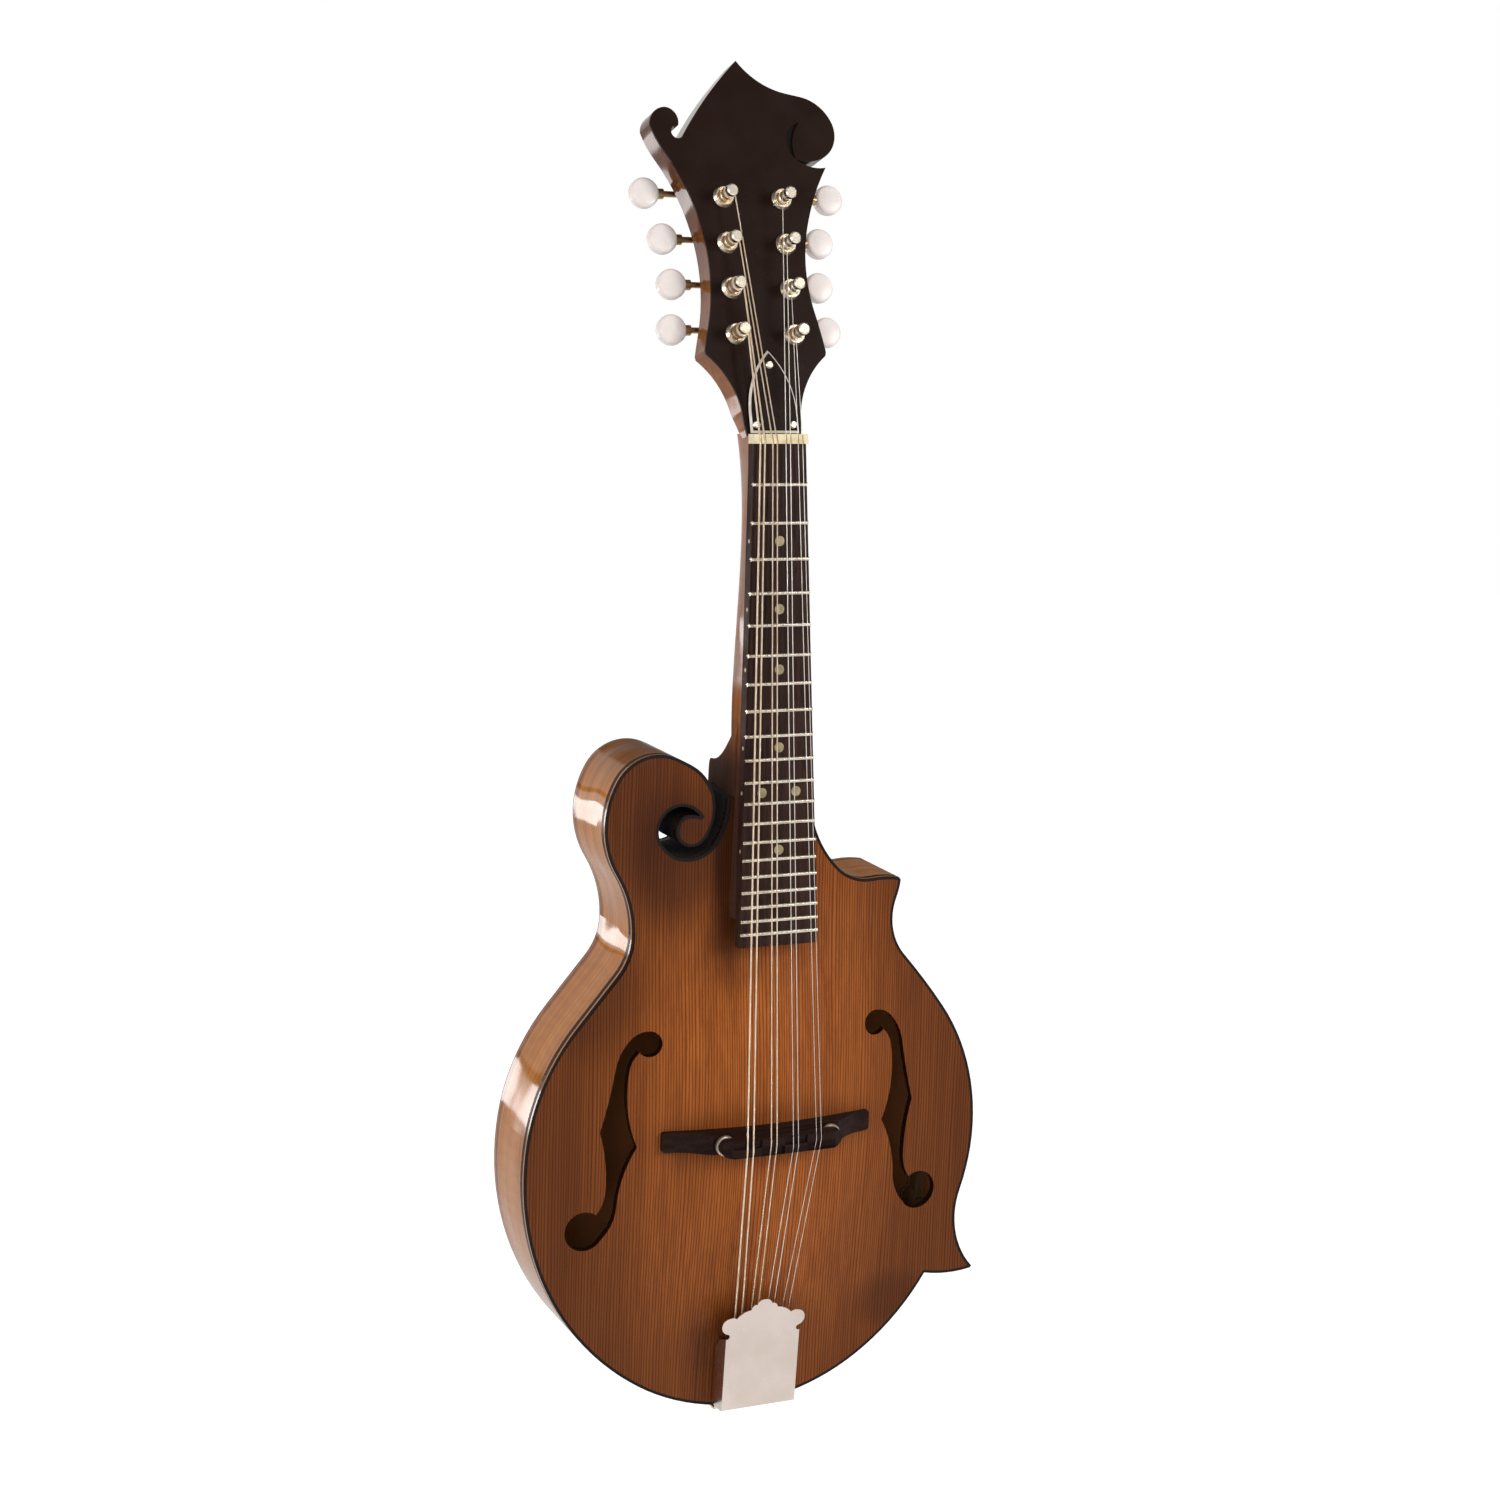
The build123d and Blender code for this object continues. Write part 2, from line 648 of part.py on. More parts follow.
with BuildPart() as neck:
    add(shaft.part)
    add(heel.part)
    # The riser carries the fingerboard over the body
    near, far = board_half_width(RISER_FROM) - RISER_INSET, board_half_width(RISER_TO) - RISER_INSET
    with BuildSketch(NECK.offset(-BOARD_THICKNESS)):
        with BuildLine():
            Polyline(
                (near, -RISER_FROM), (far, -RISER_TO), (-far, -RISER_TO), (-near, -RISER_FROM), close=True
            )
        make_face()
    extrude(amount=-13)
    # Below the front of the body only the tenon enters the head block
    with BuildSketch(BODY.offset(-BODY_DEPTH)):
        with Locations((0, NECK_JOINT)):
            Rectangle(70, 80, align=(Align.CENTER, Align.MAX))
    extrude(amount=BODY_DEPTH, mode=Mode.SUBTRACT)
    add(front_envelope, mode=Mode.SUBTRACT)
    with BuildSketch(BODY.offset(-PLATE_EDGE - TENON[2])):
        with Locations((0, NECK_JOINT + 1)):
            Rectangle(TENON[0], TENON[1] + 1, align=(Align.CENTER, Align.MAX))
    extrude(amount=TENON[2])
    add(head_core.part)
    # Channel for the truss rod and its nut
    with BuildSketch(NECK.offset(-BOARD_THICKNESS)):
        with Locations((0, NUT_LENGTH)):
            Rectangle(TRUSS_SLOT_WIDTH, NUT_LENGTH + TRUSS_ROD_END + 1, align=(Align.CENTER, Align.MAX))
    extrude(amount=-TRUSS_SLOT, mode=Mode.SUBTRACT)
    with BuildSketch(HEAD):
        with Locations((0, CHANNEL_END)):
            Rectangle(CHANNEL_WIDTH, CHANNEL_END + 6, align=(Align.CENTER, Align.MAX))
    extrude(amount=-CHANNEL_DEPTH, mode=Mode.SUBTRACT)
    # Bores for the bushings, and the posts behind them
    for radius, depth in ((BUSHING_SLEEVE, BUSHING_DEPTH + 1), (POST_CLEARANCE, HEAD_THICKNESS + 1)):
        with BuildSketch(HEAD):
            with Locations(*POSTS):
                Circle(radius)
        extrude(amount=-depth, mode=Mode.SUBTRACT)
    # Pilot holes of the small screws
    add(head_shanks.part, mode=Mode.SUBTRACT)
save(neck, "neck")

with BuildPart() as head_overlay:
    with BuildSketch(HEAD.offset(-OVERLAY)):
        add(head_outline.sketch)
        add(crescent.sketch, mode=Mode.SUBTRACT)
        Rectangle(CHANNEL_WIDTH, 2 * CHANNEL_END, mode=Mode.SUBTRACT)
        with Locations(*POSTS):
            Circle(BUSHING_SLEEVE, mode=Mode.SUBTRACT)
    extrude(amount=OVERLAY)
    add(shaft.part, mode=Mode.SUBTRACT)
    add(head_shanks.part, mode=Mode.SUBTRACT)
save(head_overlay, "head_overlay")

with BuildPart() as truss_rod_cover:
    with BuildSketch(HEAD):
        add(cover_outline.sketch)
    extrude(amount=COVER_THICKNESS)
    chamfer(truss_rod_cover.faces().sort_by(HEAD_NORMAL)[-1].edges(), 1.0)
    add(head_shanks.part, mode=Mode.SUBTRACT)
save(truss_rod_cover, "truss_rod_cover")

# The rod lies on the bottom of its slot
TRUSS_AXIS = across(NECK, 0, -BOARD_THICKNESS - TRUSS_SLOT + TRUSS_ROD_RADIUS)
with BuildPart() as truss_rod:
    with BuildSketch(TRUSS_AXIS.offset(-TRUSS_ROD_END)):
        Circle(TRUSS_ROD_RADIUS)
    extrude(amount=TRUSS_ROD_END + NUT_LENGTH + 5)
save(truss_rod, "truss_rod")

# The adjusting nut turns on the end of the rod, with a hexagon socket for the key
with BuildPart() as truss_rod_nut:
    with BuildSketch(TRUSS_AXIS.offset(NUT_LENGTH + 1)):
        Circle(ROD_NUT_RADIUS)
        Circle(TRUSS_ROD_RADIUS + RUNNING_GAP, mode=Mode.SUBTRACT)
    extrude(amount=4.5)
    with BuildSketch(TRUSS_AXIS.offset(NUT_LENGTH + 5.5)):
        Circle(ROD_NUT_RADIUS)
        RegularPolygon(1.7, 6, mode=Mode.SUBTRACT)
    extrude(amount=2.0)
save(truss_rod_nut, "truss_rod_nut")


# ---------------------------------------------------------------- fingerboard, frets, nut

with BuildPart() as board_blank:
    with BuildSketch(NECK):
        with BuildLine():
            Polyline(
                (board_half_width(0), 0), (board_half_width(BOARD_END), -BOARD_END),
                (-board_half_width(BOARD_END), -BOARD_END), (-board_half_width(0), 0),
                close=True,
            )
        make_face()
    extrude(amount=-BOARD_THICKNESS)


def between_frets(number):
    return -(fret_place(number - 1) + fret_place(number)) / 2


with BuildPart() as position_dots:
    with BuildSketch(NECK.offset(-DOT_DEPTH)):
        with Locations(*[(0, between_frets(n)) for n in (3, 5, 7, 10, 15)]):
            Circle(DOT_RADIUS)
        with Locations((-9.2, between_frets(12)), (9.2, between_frets(12))):
            Circle(DOT_RADIUS)
    extrude(amount=DOT_DEPTH)
    # small dots on the bass edge for the player
    for number in (3, 5, 7, 10, 12, 15):
        place = between_frets(number)
        edge = -board_half_width(-place)
        with BuildSketch(Plane(NECK.from_local_coords((edge - 1, place, -2.6)), z_dir=(1, 0, 0))):
            Circle(SIDE_DOT_RADIUS)
        extrude(amount=1 + DOT_DEPTH)
    add(board_blank.part, mode=Mode.INTERSECT)
save(position_dots, "position_dots")

with BuildPart() as frets:
    for number in range(1, FRET_COUNT + 1):
        half = board_half_width(fret_place(number))
        start = NECK.from_local_coords((-half, -fret_place(number), 0))
        with BuildSketch(Plane(start, x_dir=NECK.y_dir, z_dir=(1, 0, 0))):
            with BuildLine():
                ThreePointArc((-FRET_WIDTH / 2, 0), (0, FRET_HEIGHT), (FRET_WIDTH / 2, 0))
                Line((FRET_WIDTH / 2, 0), (-FRET_WIDTH / 2, 0))
            make_face()
            Rectangle(TANG_WIDTH, TANG_DEPTH, align=(Align.CENTER, Align.MAX))
        extrude(amount=2 * half)
save(frets, "frets")

with BuildPart() as fingerboard:
    add(board_blank.part)
    add(position_dots.part, mode=Mode.SUBTRACT)
    add(frets.part, mode=Mode.SUBTRACT)
save(fingerboard, "fingerboard")


# ---------------------------------------------------------------- strings


def at(plane, x, y, z):
    return Vector(*plane.from_local_coords((x, y, z)))


def rounded_corner(point, before, after, radius):
    """Start, middle and end of the arc by which a cord bends at point."""
    arriving = (point - before).normalized()
    leaving = (after - point).normalized()
    half = acos(arriving.dot(leaving)) / 2
    reach = radius * tan(half)
    middle = point + (leaving - arriving).normalized() * radius * (1 / cos(half) - 1)
    return point - arriving * reach, middle, point + leaving * reach


def loop_wire(diameter):
    """Radius of the wire that a string's loop is made of: only the core of a wound string."""
    return 0.2 + 0.2 * diameter


def string_points(index):
    name, diameter, nut_x, saddle_x = STRINGS[index]
    side = -1 if nut_x < 0 else 1
    row = POST_ROWS[STRING_ROWS[index]]
    winding = WAIST_RADIUS + RUNNING_GAP + diameter / 2
    hook_x = HOOK_SHIFT + HOOK_PITCH * (index - 3.5)
    loop = HOOK_RADIUS + RUNNING_GAP + loop_wire(diameter)
    return (
        at(BODY, hook_x, HOOK_Z + loop, STRING_AT_HOOK),
        at(BODY, saddle_x, BRIDGE_Z + SADDLE_STEP * SADDLE_STEPS[name[0]], SADDLE_TOP),
        at(NECK, nut_x, NUT_CREST, STRING_AT_NUT),
        at(HEAD, side * (POST_COLUMN - winding), row, WINDING_HEIGHT),
    )


def looking_along(start, target):
    """A plane at start, facing target, whose y points to the back."""
    return Plane(start, x_dir=(1, 0, 0), z_dir=target - start)


def string_solid(index):
    name, diameter, nut_x, saddle_x = STRINGS[index]
    side = -1 if nut_x < 0 else 1
    hook, over_saddle, over_nut, post = string_points(index)
    saddle_arc = rounded_corner(over_saddle, hook, over_nut, SADDLE_BEND)
    nut_arc = rounded_corner(over_nut, over_saddle, post, NUT_BEND)
    with BuildPart() as cord:
        with BuildLine():
            Line(hook, saddle_arc[0])
            ThreePointArc(*saddle_arc)
            Line(saddle_arc[2], nut_arc[0])
            ThreePointArc(*nut_arc)
            Line(nut_arc[2], post)
        with BuildSketch(looking_along(hook, over_saddle)):
            Circle(diameter / 2)
        sweep()
        # the loop on its hook
        with BuildSketch(BODY.offset(STRING_AT_HOOK - loop_wire(diameter))):
            with Locations((HOOK_SHIFT + HOOK_PITCH * (index - 3.5), HOOK_Z)):
                Circle(HOOK_RADIUS + RUNNING_GAP + 2 * loop_wire(diameter))
                Circle(HOOK_RADIUS + RUNNING_GAP, mode=Mode.SUBTRACT)
        extrude(amount=2 * loop_wire(diameter))
        # the turns round the post's waist
        turns = HEAD.offset(WINDING_HEIGHT + 0.6 * diameter)
        with BuildSketch(turns):
            with Locations((side * POST_COLUMN, POST_ROWS[STRING_ROWS[index]])):
                Circle(WAIST_RADIUS + RUNNING_GAP + 1.04 * diameter)
                Circle(WAIST_RADIUS + RUNNING_GAP - 0.02, mode=Mode.SUBTRACT)
        extrude(amount=WINDING_FOOT - WINDING_HEIGHT - 0.6 * diameter)
    return cord.part


def groove(index, corner, radius):
    """The groove a string lies in where it bends, open to the front."""
    points = string_points(index)
    width = STRINGS[index][1] + 2 * RUNNING_GAP
    arc = rounded_corner(points[corner], points[corner - 1], points[corner + 1], radius)
    before = arc[0] + (points[corner - 1] - arc[0]).normalized() * 7
    after = arc[2] + (points[corner + 1] - arc[2]).normalized() * 7
    with BuildPart() as slot:
        with BuildLine():
            Line(before, arc[0])
            ThreePointArc(*arc)
            Line(arc[2], after)
        with BuildSketch(looking_along(before, arc[0])):
            Circle(width / 2)
            Rectangle(width, 3, align=(Align.CENTER, Align.MAX))
        sweep()
    return slot.part


for name, indices in (("wound_strings", (0, 1, 2, 3)), ("plain_strings", (4, 5, 6, 7))):
    with BuildPart() as course:
        for index in indices:
            add(string_solid(index))
    save(course, name)

with BuildPart() as nut:
    nut_end = NECK.from_local_coords((-NUT_WIDTH / 2, 0, 0))
    with BuildSketch(Plane(nut_end, x_dir=NECK.y_dir, z_dir=(1, 0, 0))):
        with BuildLine():
            Polyline(
                (0, -BOARD_THICKNESS), (0, NUT_HEIGHT), (1.6, NUT_HEIGHT),
                (NUT_LENGTH, NUT_HEIGHT - 0.9), (NUT_LENGTH, -BOARD_THICKNESS),
                close=True,
            )
        make_face()
    extrude(amount=NUT_WIDTH)
    for index in range(8):
        add(groove(index, 2, NUT_BEND), mode=Mode.SUBTRACT)
save(nut, "nut")


# ---------------------------------------------------------------- tuners

with BuildPart() as post_bushings:
    for x, row in POSTS:
        centre = HEAD.from_local_coords((x, row, 0))
        with BuildSketch(Plane(centre, x_dir=(1, 0, 0), z_dir=-HEAD.y_dir)):
            with BuildLine():
                Polyline(
                    (POST_RADIUS + RUNNING_GAP, -BUSHING_DEPTH), (BUSHING_SLEEVE, -BUSHING_DEPTH),
                    (BUSHING_SLEEVE, 0),
                    (5.5, 0), (5.5, 1.0), (4.6, 2.7), (3.75, 2.7), (POST_RADIUS + RUNNING_GAP, 1.8),
                    close=True,
                )
            make_face()
        revolve(axis=Axis(centre, HEAD.z_dir))
save(post_bushings, "post_bushings")

GEAR_FACE = -16.0
POST_STEP = -13.2
with BuildSketch() as gear_line:
    Circle(GEAR_ROOT)
    with PolarLocations(0, GEAR_TEETH):
        with BuildLine():
            Polyline(
                (GEAR_ROOT - 0.2, -0.52), (GEAR_RADIUS, -0.25), (GEAR_RADIUS, 0.25),
                (GEAR_ROOT - 0.2, 0.52), close=True,
            )
        make_face()

with BuildPart() as tuner_plates:
    for side in (-1, 1):
        with BuildSketch(HEAD.offset(-HEAD_THICKNESS)):
            with Locations((side * PLATE_MIDDLE, (PLATE_LOW + PLATE_HIGH) / 2)):
                RectangleRounded(PLATE_WIDTH, PLATE_HIGH - PLATE_LOW, 3)
        extrude(amount=-TUNER_PLATE)
    # A pair of ears carries each worm
    for row in POST_ROWS:
        for side in (-1, 1):
            for inner in EARS:
                face = HEAD.from_local_coords((side * inner, row + WORM_OFFSET, -HEAD_THICKNESS))
                depth = -side * (WORM_DEPTH - HEAD_THICKNESS)
                with BuildSketch(Plane(face, x_dir=HEAD.y_dir, z_dir=(side, 0, 0))):
                    with Locations((0, depth / 2)):
                        Rectangle(2 * EAR_RADIUS, abs(depth))
                    with Locations((0, depth)):
                        Circle(EAR_RADIUS)
                extrude(amount=EAR_WIDTH)
    with BuildSketch(HEAD):
        with Locations(*POSTS):
            Circle(POST_FOOT + RUNNING_GAP)
    extrude(amount=-30, mode=Mode.SUBTRACT)
    for row in POST_ROWS:
        axis = HEAD.from_local_coords((-30, row + WORM_OFFSET, -WORM_DEPTH))
        with BuildSketch(Plane(axis, z_dir=(1, 0, 0))):
            Circle(SHAFT_RADIUS + RUNNING_GAP)
        extrude(amount=60, mode=Mode.SUBTRACT)
    add(head_shanks.part, mode=Mode.SUBTRACT)
save(tuner_plates, "tuner_plates")


def turned(side, row, radius, start, end):
    """A stretch of a worm shaft, from and to a distance from the middle of the head."""
    origin = HEAD.from_local_coords((side * start, row + WORM_OFFSET, -WORM_DEPTH))
    return cylinders(Plane(origin, z_dir=(side, 0, 0)), [(0, 0)], radius, end - start)


for (name, *_), row_index in zip(STRINGS, STRING_ROWS):
    side = -1 if name[0] in "gd" else 1
    row = POST_ROWS[row_index]
    centre = HEAD.from_local_coords((side * POST_COLUMN, row, 0))
    with BuildPart() as post:
        with BuildSketch(Plane(centre, x_dir=(1, 0, 0), z_dir=-HEAD.y_dir)):
            with BuildLine():
                Polyline(
                    (0, GEAR_FACE), (POST_FOOT, GEAR_FACE), (POST_FOOT, POST_STEP),
                    (POST_RADIUS, POST_STEP), (POST_RADIUS, WAIST_FROM), (WAIST_RADIUS, WAIST_FROM + 0.4),
                    (WAIST_RADIUS, WAIST_TO - 0.4), (POST_RADIUS, WAIST_TO),
                    (POST_RADIUS, POST_HEIGHT - 0.6), (POST_RADIUS - 0.7, POST_HEIGHT), (0, POST_HEIGHT),
                    close=True,
                )
            make_face()
        revolve(axis=Axis(centre, HEAD.z_dir))
        # the string's hole through the waist
        hole = HEAD.from_local_coords((side * POST_COLUMN, row - 4, STRING_HOLE))
        with BuildSketch(Plane(hole, z_dir=HEAD.y_dir)):
            Circle(0.7)
        extrude(amount=8, mode=Mode.SUBTRACT)
        # the gear and the screw that holds it on
        with BuildSketch(HEAD.offset(GEAR_FACE)):
            with Locations((side * POST_COLUMN, row)):
                add(gear_line.sketch)
        extrude(amount=-GEAR_WIDTH)
        with BuildSketch(HEAD.offset(GEAR_FACE - GEAR_WIDTH)):
            with Locations((side * POST_COLUMN, row)):
                Circle(2.2)
                Rectangle(4.6, 0.6, rotation=35, mode=Mode.SUBTRACT)
        extrude(amount=-1)
    save(post, "post_" + name)

    reach = BUTTON_REACH[row_index]
    rim = reach - BUTTON_RADIUS
    with BuildPart() as worm:
        add(turned(side, row, SHAFT_RADIUS, EARS[0] - 0.4, reach + 1.0))
        add(turned(side, row, WORM_CORE, EARS[0] + EAR_WIDTH + END_PLAY, EARS[1] - END_PLAY))
        add(turned(side, row, COLLAR_RADIUS, rim - 2.4, rim + 0.7))
    save(worm, "worm_" + name)

    with BuildPart() as button:
        with BuildSketch(HEAD.offset(-WORM_DEPTH - BUTTON_THICKNESS / 2)):
            with Locations((side * reach, row + WORM_OFFSET)):
                Circle(BUTTON_RADIUS)
        extrude(amount=BUTTON_THICKNESS)
        chamfer(button.edges().filter_by(GeomType.CIRCLE), BUTTON_EDGE)
        add(worm.part, mode=Mode.SUBTRACT)
    save(button, "button_" + name)


# ---------------------------------------------------------------- bridge


def bridge_slab(thickness, profile):
    """A slab square to the body's length, from a profile of widths and heights."""
    middle = BODY.from_local_coords((BRIDGE_SHIFT, BRIDGE_Z - thickness / 2, 0))
    with BuildPart() as slab:
        with BuildSketch(Plane(middle, x_dir=(-1, 0, 0), z_dir=(0, 0, 1))):
            add(profile)
        extrude(amount=thickness)
    return slab.part


END = BASE_LENGTH / 2
with BuildSketch() as base_profile:
    with BuildLine():
        Polyline((-END, 4), (-END, 9.2), (-END + 3, 10.0))
        Spline((-END + 3, 10.0), (-43, 14.2), (-34.5, BASE_TOP), tangents=((1, 0.1), (0.9, 0.5)))
        Line((-34.5, BASE_TOP), (34.5, BASE_TOP))
        Spline((34.5, BASE_TOP), (43, 14.2), (END - 3, 10.0), tangents=((0.9, -0.5), (1, -0.1)))
        Polyline((END - 3, 10.0), (END, 9.2), (END, 4), (-END, 4))
    make_face()

HALF = SADDLE_LENGTH / 2
SADDLE_FOOT = BASE_TOP + WHEEL_LIFT + WHEEL_THICKNESS
with BuildSketch() as saddle_profile:
    with BuildLine():
        Polyline((-23.5, SADDLE_FOOT), (-HALF, SADDLE_FOOT), (-HALF, SADDLE_FOOT + 3.6))
        ThreePointArc((-HALF, SADDLE_FOOT + 3.6), (-30.2, 29.2), (-27.5, SADDLE_TOP))
        Line((-27.5, SADDLE_TOP), (27.5, SADDLE_TOP))
        ThreePointArc((27.5, SADDLE_TOP), (30.2, 29.2), (HALF, SADDLE_FOOT + 3.6))
        Polyline((HALF, SADDLE_FOOT + 3.6), (HALF, SADDLE_FOOT), (23.5, SADDLE_FOOT))
        ThreePointArc((23.5, SADDLE_FOOT), (0, SADDLE_FOOT + 2.2), (-23.5, SADDLE_FOOT))
    make_face()

# The stretches of the crest under the four courses
STEP_EDGES = [
    (left, right, SADDLE_STEPS[course])
    for left, right, course in ((-27, -11.8, "g"), (-11.8, 0.7, "d"), (0.7, 13.1, "a"), (13.1, 30, "e"))
]


def from_the_side(x):
    """A plane across the width at x: local x up the body, local y to the front."""
    return Plane(BODY.from_local_coords((x, 0, 0)), x_dir=(0, 0, 1), z_dir=(1, 0, 0))


wheel_places = [(BRIDGE_SHIFT + side * WHEEL_SPACING, BRIDGE_Z) for side in (-1, 1)]
POST_BOTTOM = 12.0
post_rods = cylinders(
    BODY.offset(POST_BOTTOM), wheel_places, BRIDGE_POST, SADDLE_FOOT + POST_ENTRY - POST_BOTTOM
)
with BuildPart() as bridge_posts:
    add(post_rods)
save(bridge_posts, "bridge_posts")

with BuildPart() as bridge_base:
    add(bridge_slab(BASE_WIDTH, base_profile.sketch))
    ends = bridge_base.edges().filter_by(Axis.Y).group_by(Axis.X)
    fillet(ends[0] + ends[-1], 1.5)
    add(front_envelope, mode=Mode.SUBTRACT)
    add(post_rods, mode=Mode.SUBTRACT)
save(bridge_base, "bridge_base")

with BuildPart() as bridge_saddle:
    add(bridge_slab(SADDLE_WIDTH, saddle_profile.sketch))
    with BuildSketch(BODY.offset(BASE_TOP)):
        with Locations((BRIDGE_SHIFT, BRIDGE_Z)):
            SlotOverall(SADDLE_LENGTH, SADDLE_WIDTH)
    extrude(amount=SADDLE_TOP, mode=Mode.INTERSECT)
    # The top narrows to the crest
    with BuildSketch(from_the_side(-60)):
        with Locations((BRIDGE_Z, 0)):
            with BuildLine():
                Polyline((4.5, 27.6), (2.7, SADDLE_TOP + 0.1), (4.5, SADDLE_TOP + 0.1), close=True)
            make_face()
            with BuildLine():
                Polyline((-4.5, 27.6), (-2.7, SADDLE_TOP + 0.1), (-4.5, SADDLE_TOP + 0.1), close=True)
            make_face()
    extrude(amount=120, mode=Mode.SUBTRACT)
    # and is cut back in steps, one side or the other, to suit the length of each course
    for left, right, side in STEP_EDGES:
        with BuildSketch(BODY.offset(SADDLE_TOP - 1.2)):
            with Locations(((left + right) / 2, BRIDGE_Z - 2.2 * side)):
                Rectangle(right - left, 4.0)
        extrude(amount=3, mode=Mode.SUBTRACT)
    for index in range(8):
        add(groove(index, 1, SADDLE_BEND), mode=Mode.SUBTRACT)
    # Bores for the posts
    bores = cylinders(BODY.offset(SADDLE_FOOT), wheel_places, BRIDGE_POST + RUNNING_GAP, SADDLE_BORE)
    add(bores, mode=Mode.SUBTRACT)
save(bridge_saddle, "bridge_saddle")

for name, place in zip(("bass_thumbwheel", "treble_thumbwheel"), wheel_places):
    with BuildPart() as wheel:
        with BuildSketch(BODY.offset(BASE_TOP + WHEEL_LIFT)):
            with Locations(place):
                Circle(WHEEL_RADIUS)
                Circle(BRIDGE_POST + RUNNING_GAP, mode=Mode.SUBTRACT)
        extrude(amount=WHEEL_THICKNESS)
        rims = wheel.edges().filter_by(GeomType.CIRCLE).group_by(SortBy.RADIUS)[-1]
        chamfer(rims, 0.4)
    save(wheel, name)


# ---------------------------------------------------------------- tailpiece

PLATE_FRONT = -252.0
LEG_END = -28.0
with BuildPart() as tailpiece_base:
    with BuildSketch(from_the_side(-TAILPIECE_WIDTH / 2)):
        with BuildLine():
            Polyline(
                (PLATE_FRONT, 2.0), (TAIL_Z, 0.1), (TAIL_Z, LEG_END), (TAIL_Z - TAIL_PLATE, LEG_END),
                (TAIL_Z - TAIL_PLATE, -0.8), (TAIL_Z - 0.2, 1.3), (PLATE_FRONT, 2.0 + TAIL_PLATE),
                close=True,
            )
        make_face()
    extrude(amount=TAILPIECE_WIDTH)
    hooks = [(HOOK_SHIFT + HOOK_PITCH * (i - 3.5), HOOK_Z) for i in range(8)]
    add(cylinders(BODY.offset(1.8), hooks, HOOK_RADIUS, HOOK_TOP - 1.8))
    add(tail_shanks, mode=Mode.SUBTRACT)
    add(pin_shank, mode=Mode.SUBTRACT)
save(tailpiece_base, "tailpiece_base")

# The cover from above: a scalloped front edge, from the middle lobe out to the ears
SIDE = COVER_WIDTH / 2
with BuildSketch() as cover_plan:
    with BuildLine():
        ThreePointArc((0, -228.8), (2.7, -229.4), (4.1, -231.3))
        ThreePointArc((4.1, -231.3), (6.2, -231.8), (7.3, -233.8))
        ThreePointArc((7.3, -233.8), (11.2, -234.8), (15.2, -237.7))
        ThreePointArc((15.2, -237.7), (17.2, -236.9), (19.1, -237.1))
        ThreePointArc((19.1, -237.1), (23.1, -241.3), (19.8, -245.6))
        ThreePointArc((19.8, -245.6), (18.6, -246.9), (SIDE, -248.3))
        Polyline((SIDE, -248.3), (SIDE, -300), (0, -300), (0, -228.8))
    make_face()
    mirror(about=Plane.YZ)

WALLS_FROM = -249.3           # the side walls start here, behind the ears


def face_height(z):
    """Height of the cover's outer face at a distance up the body."""
    return COVER_HEIGHT - (COVER_FRONT - z) * tan(radians(COVER_LEAN))


with BuildPart() as tailpiece_cover:
    with BuildSketch(from_the_side(-SIDE)) as side_view:
        with BuildLine():
            Polyline(
                (COVER_FRONT, face_height(COVER_FRONT)), (COVER_REAR, face_height(COVER_REAR)),
                (COVER_REAR, COVER_FOOT), (-257, 3.2), (-251.5, 7.5), (WALLS_FROM, 12.0), (COVER_FRONT, 12.0),
                close=True,
            )
        make_face()
        rear = side_view.vertices().group_by(Axis.X)[0].sort_by(Axis.Y)[-1]
        fillet(rear, COVER_BEND)
    extrude(amount=COVER_WIDTH)
    # hollow between its side walls, in front of its rear wall
    with BuildSketch(from_the_side(-SIDE + COVER_WALL)):
        with BuildLine():
            Polyline(
                (COVER_FRONT + 1, face_height(COVER_FRONT + 1) - COVER_WALL),
                (COVER_REAR + COVER_WALL, face_height(COVER_REAR + COVER_WALL) - COVER_WALL),
                (COVER_REAR + COVER_WALL, 0), (COVER_FRONT + 1, 0),
                close=True,
            )
        make_face()
    extrude(amount=COVER_WIDTH - 2 * COVER_WALL, mode=Mode.SUBTRACT)
    # no side walls under the lobes, and the face runs out to the ears
    with BuildSketch(from_the_side(-SIDE - 5)):
        with Locations((WALLS_FROM, 0)):
            Rectangle(60, COVER_HEIGHT, align=(Align.MIN, Align.MIN))
    extrude(amount=COVER_WIDTH + 10, mode=Mode.SUBTRACT)
    with BuildSketch(from_the_side(-SIDE - 5)):
        with BuildLine():
            Polyline(
                (COVER_FRONT, face_height(COVER_FRONT)), (WALLS_FROM - 1, face_height(WALLS_FROM - 1)),
                (WALLS_FROM - 1, face_height(WALLS_FROM - 1) - COVER_WALL),
                (COVER_FRONT, face_height(COVER_FRONT) - COVER_WALL),
                close=True,
            )
        make_face()
    extrude(amount=COVER_WIDTH + 10)
    with BuildSketch(BODY.offset(-20)):
        add(cover_plan.sketch)
    extrude(amount=50, mode=Mode.INTERSECT)
save(tailpiece_cover, "tailpiece_cover")
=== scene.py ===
import math

import bmesh
import bpy
from mathutils import Matrix, Vector


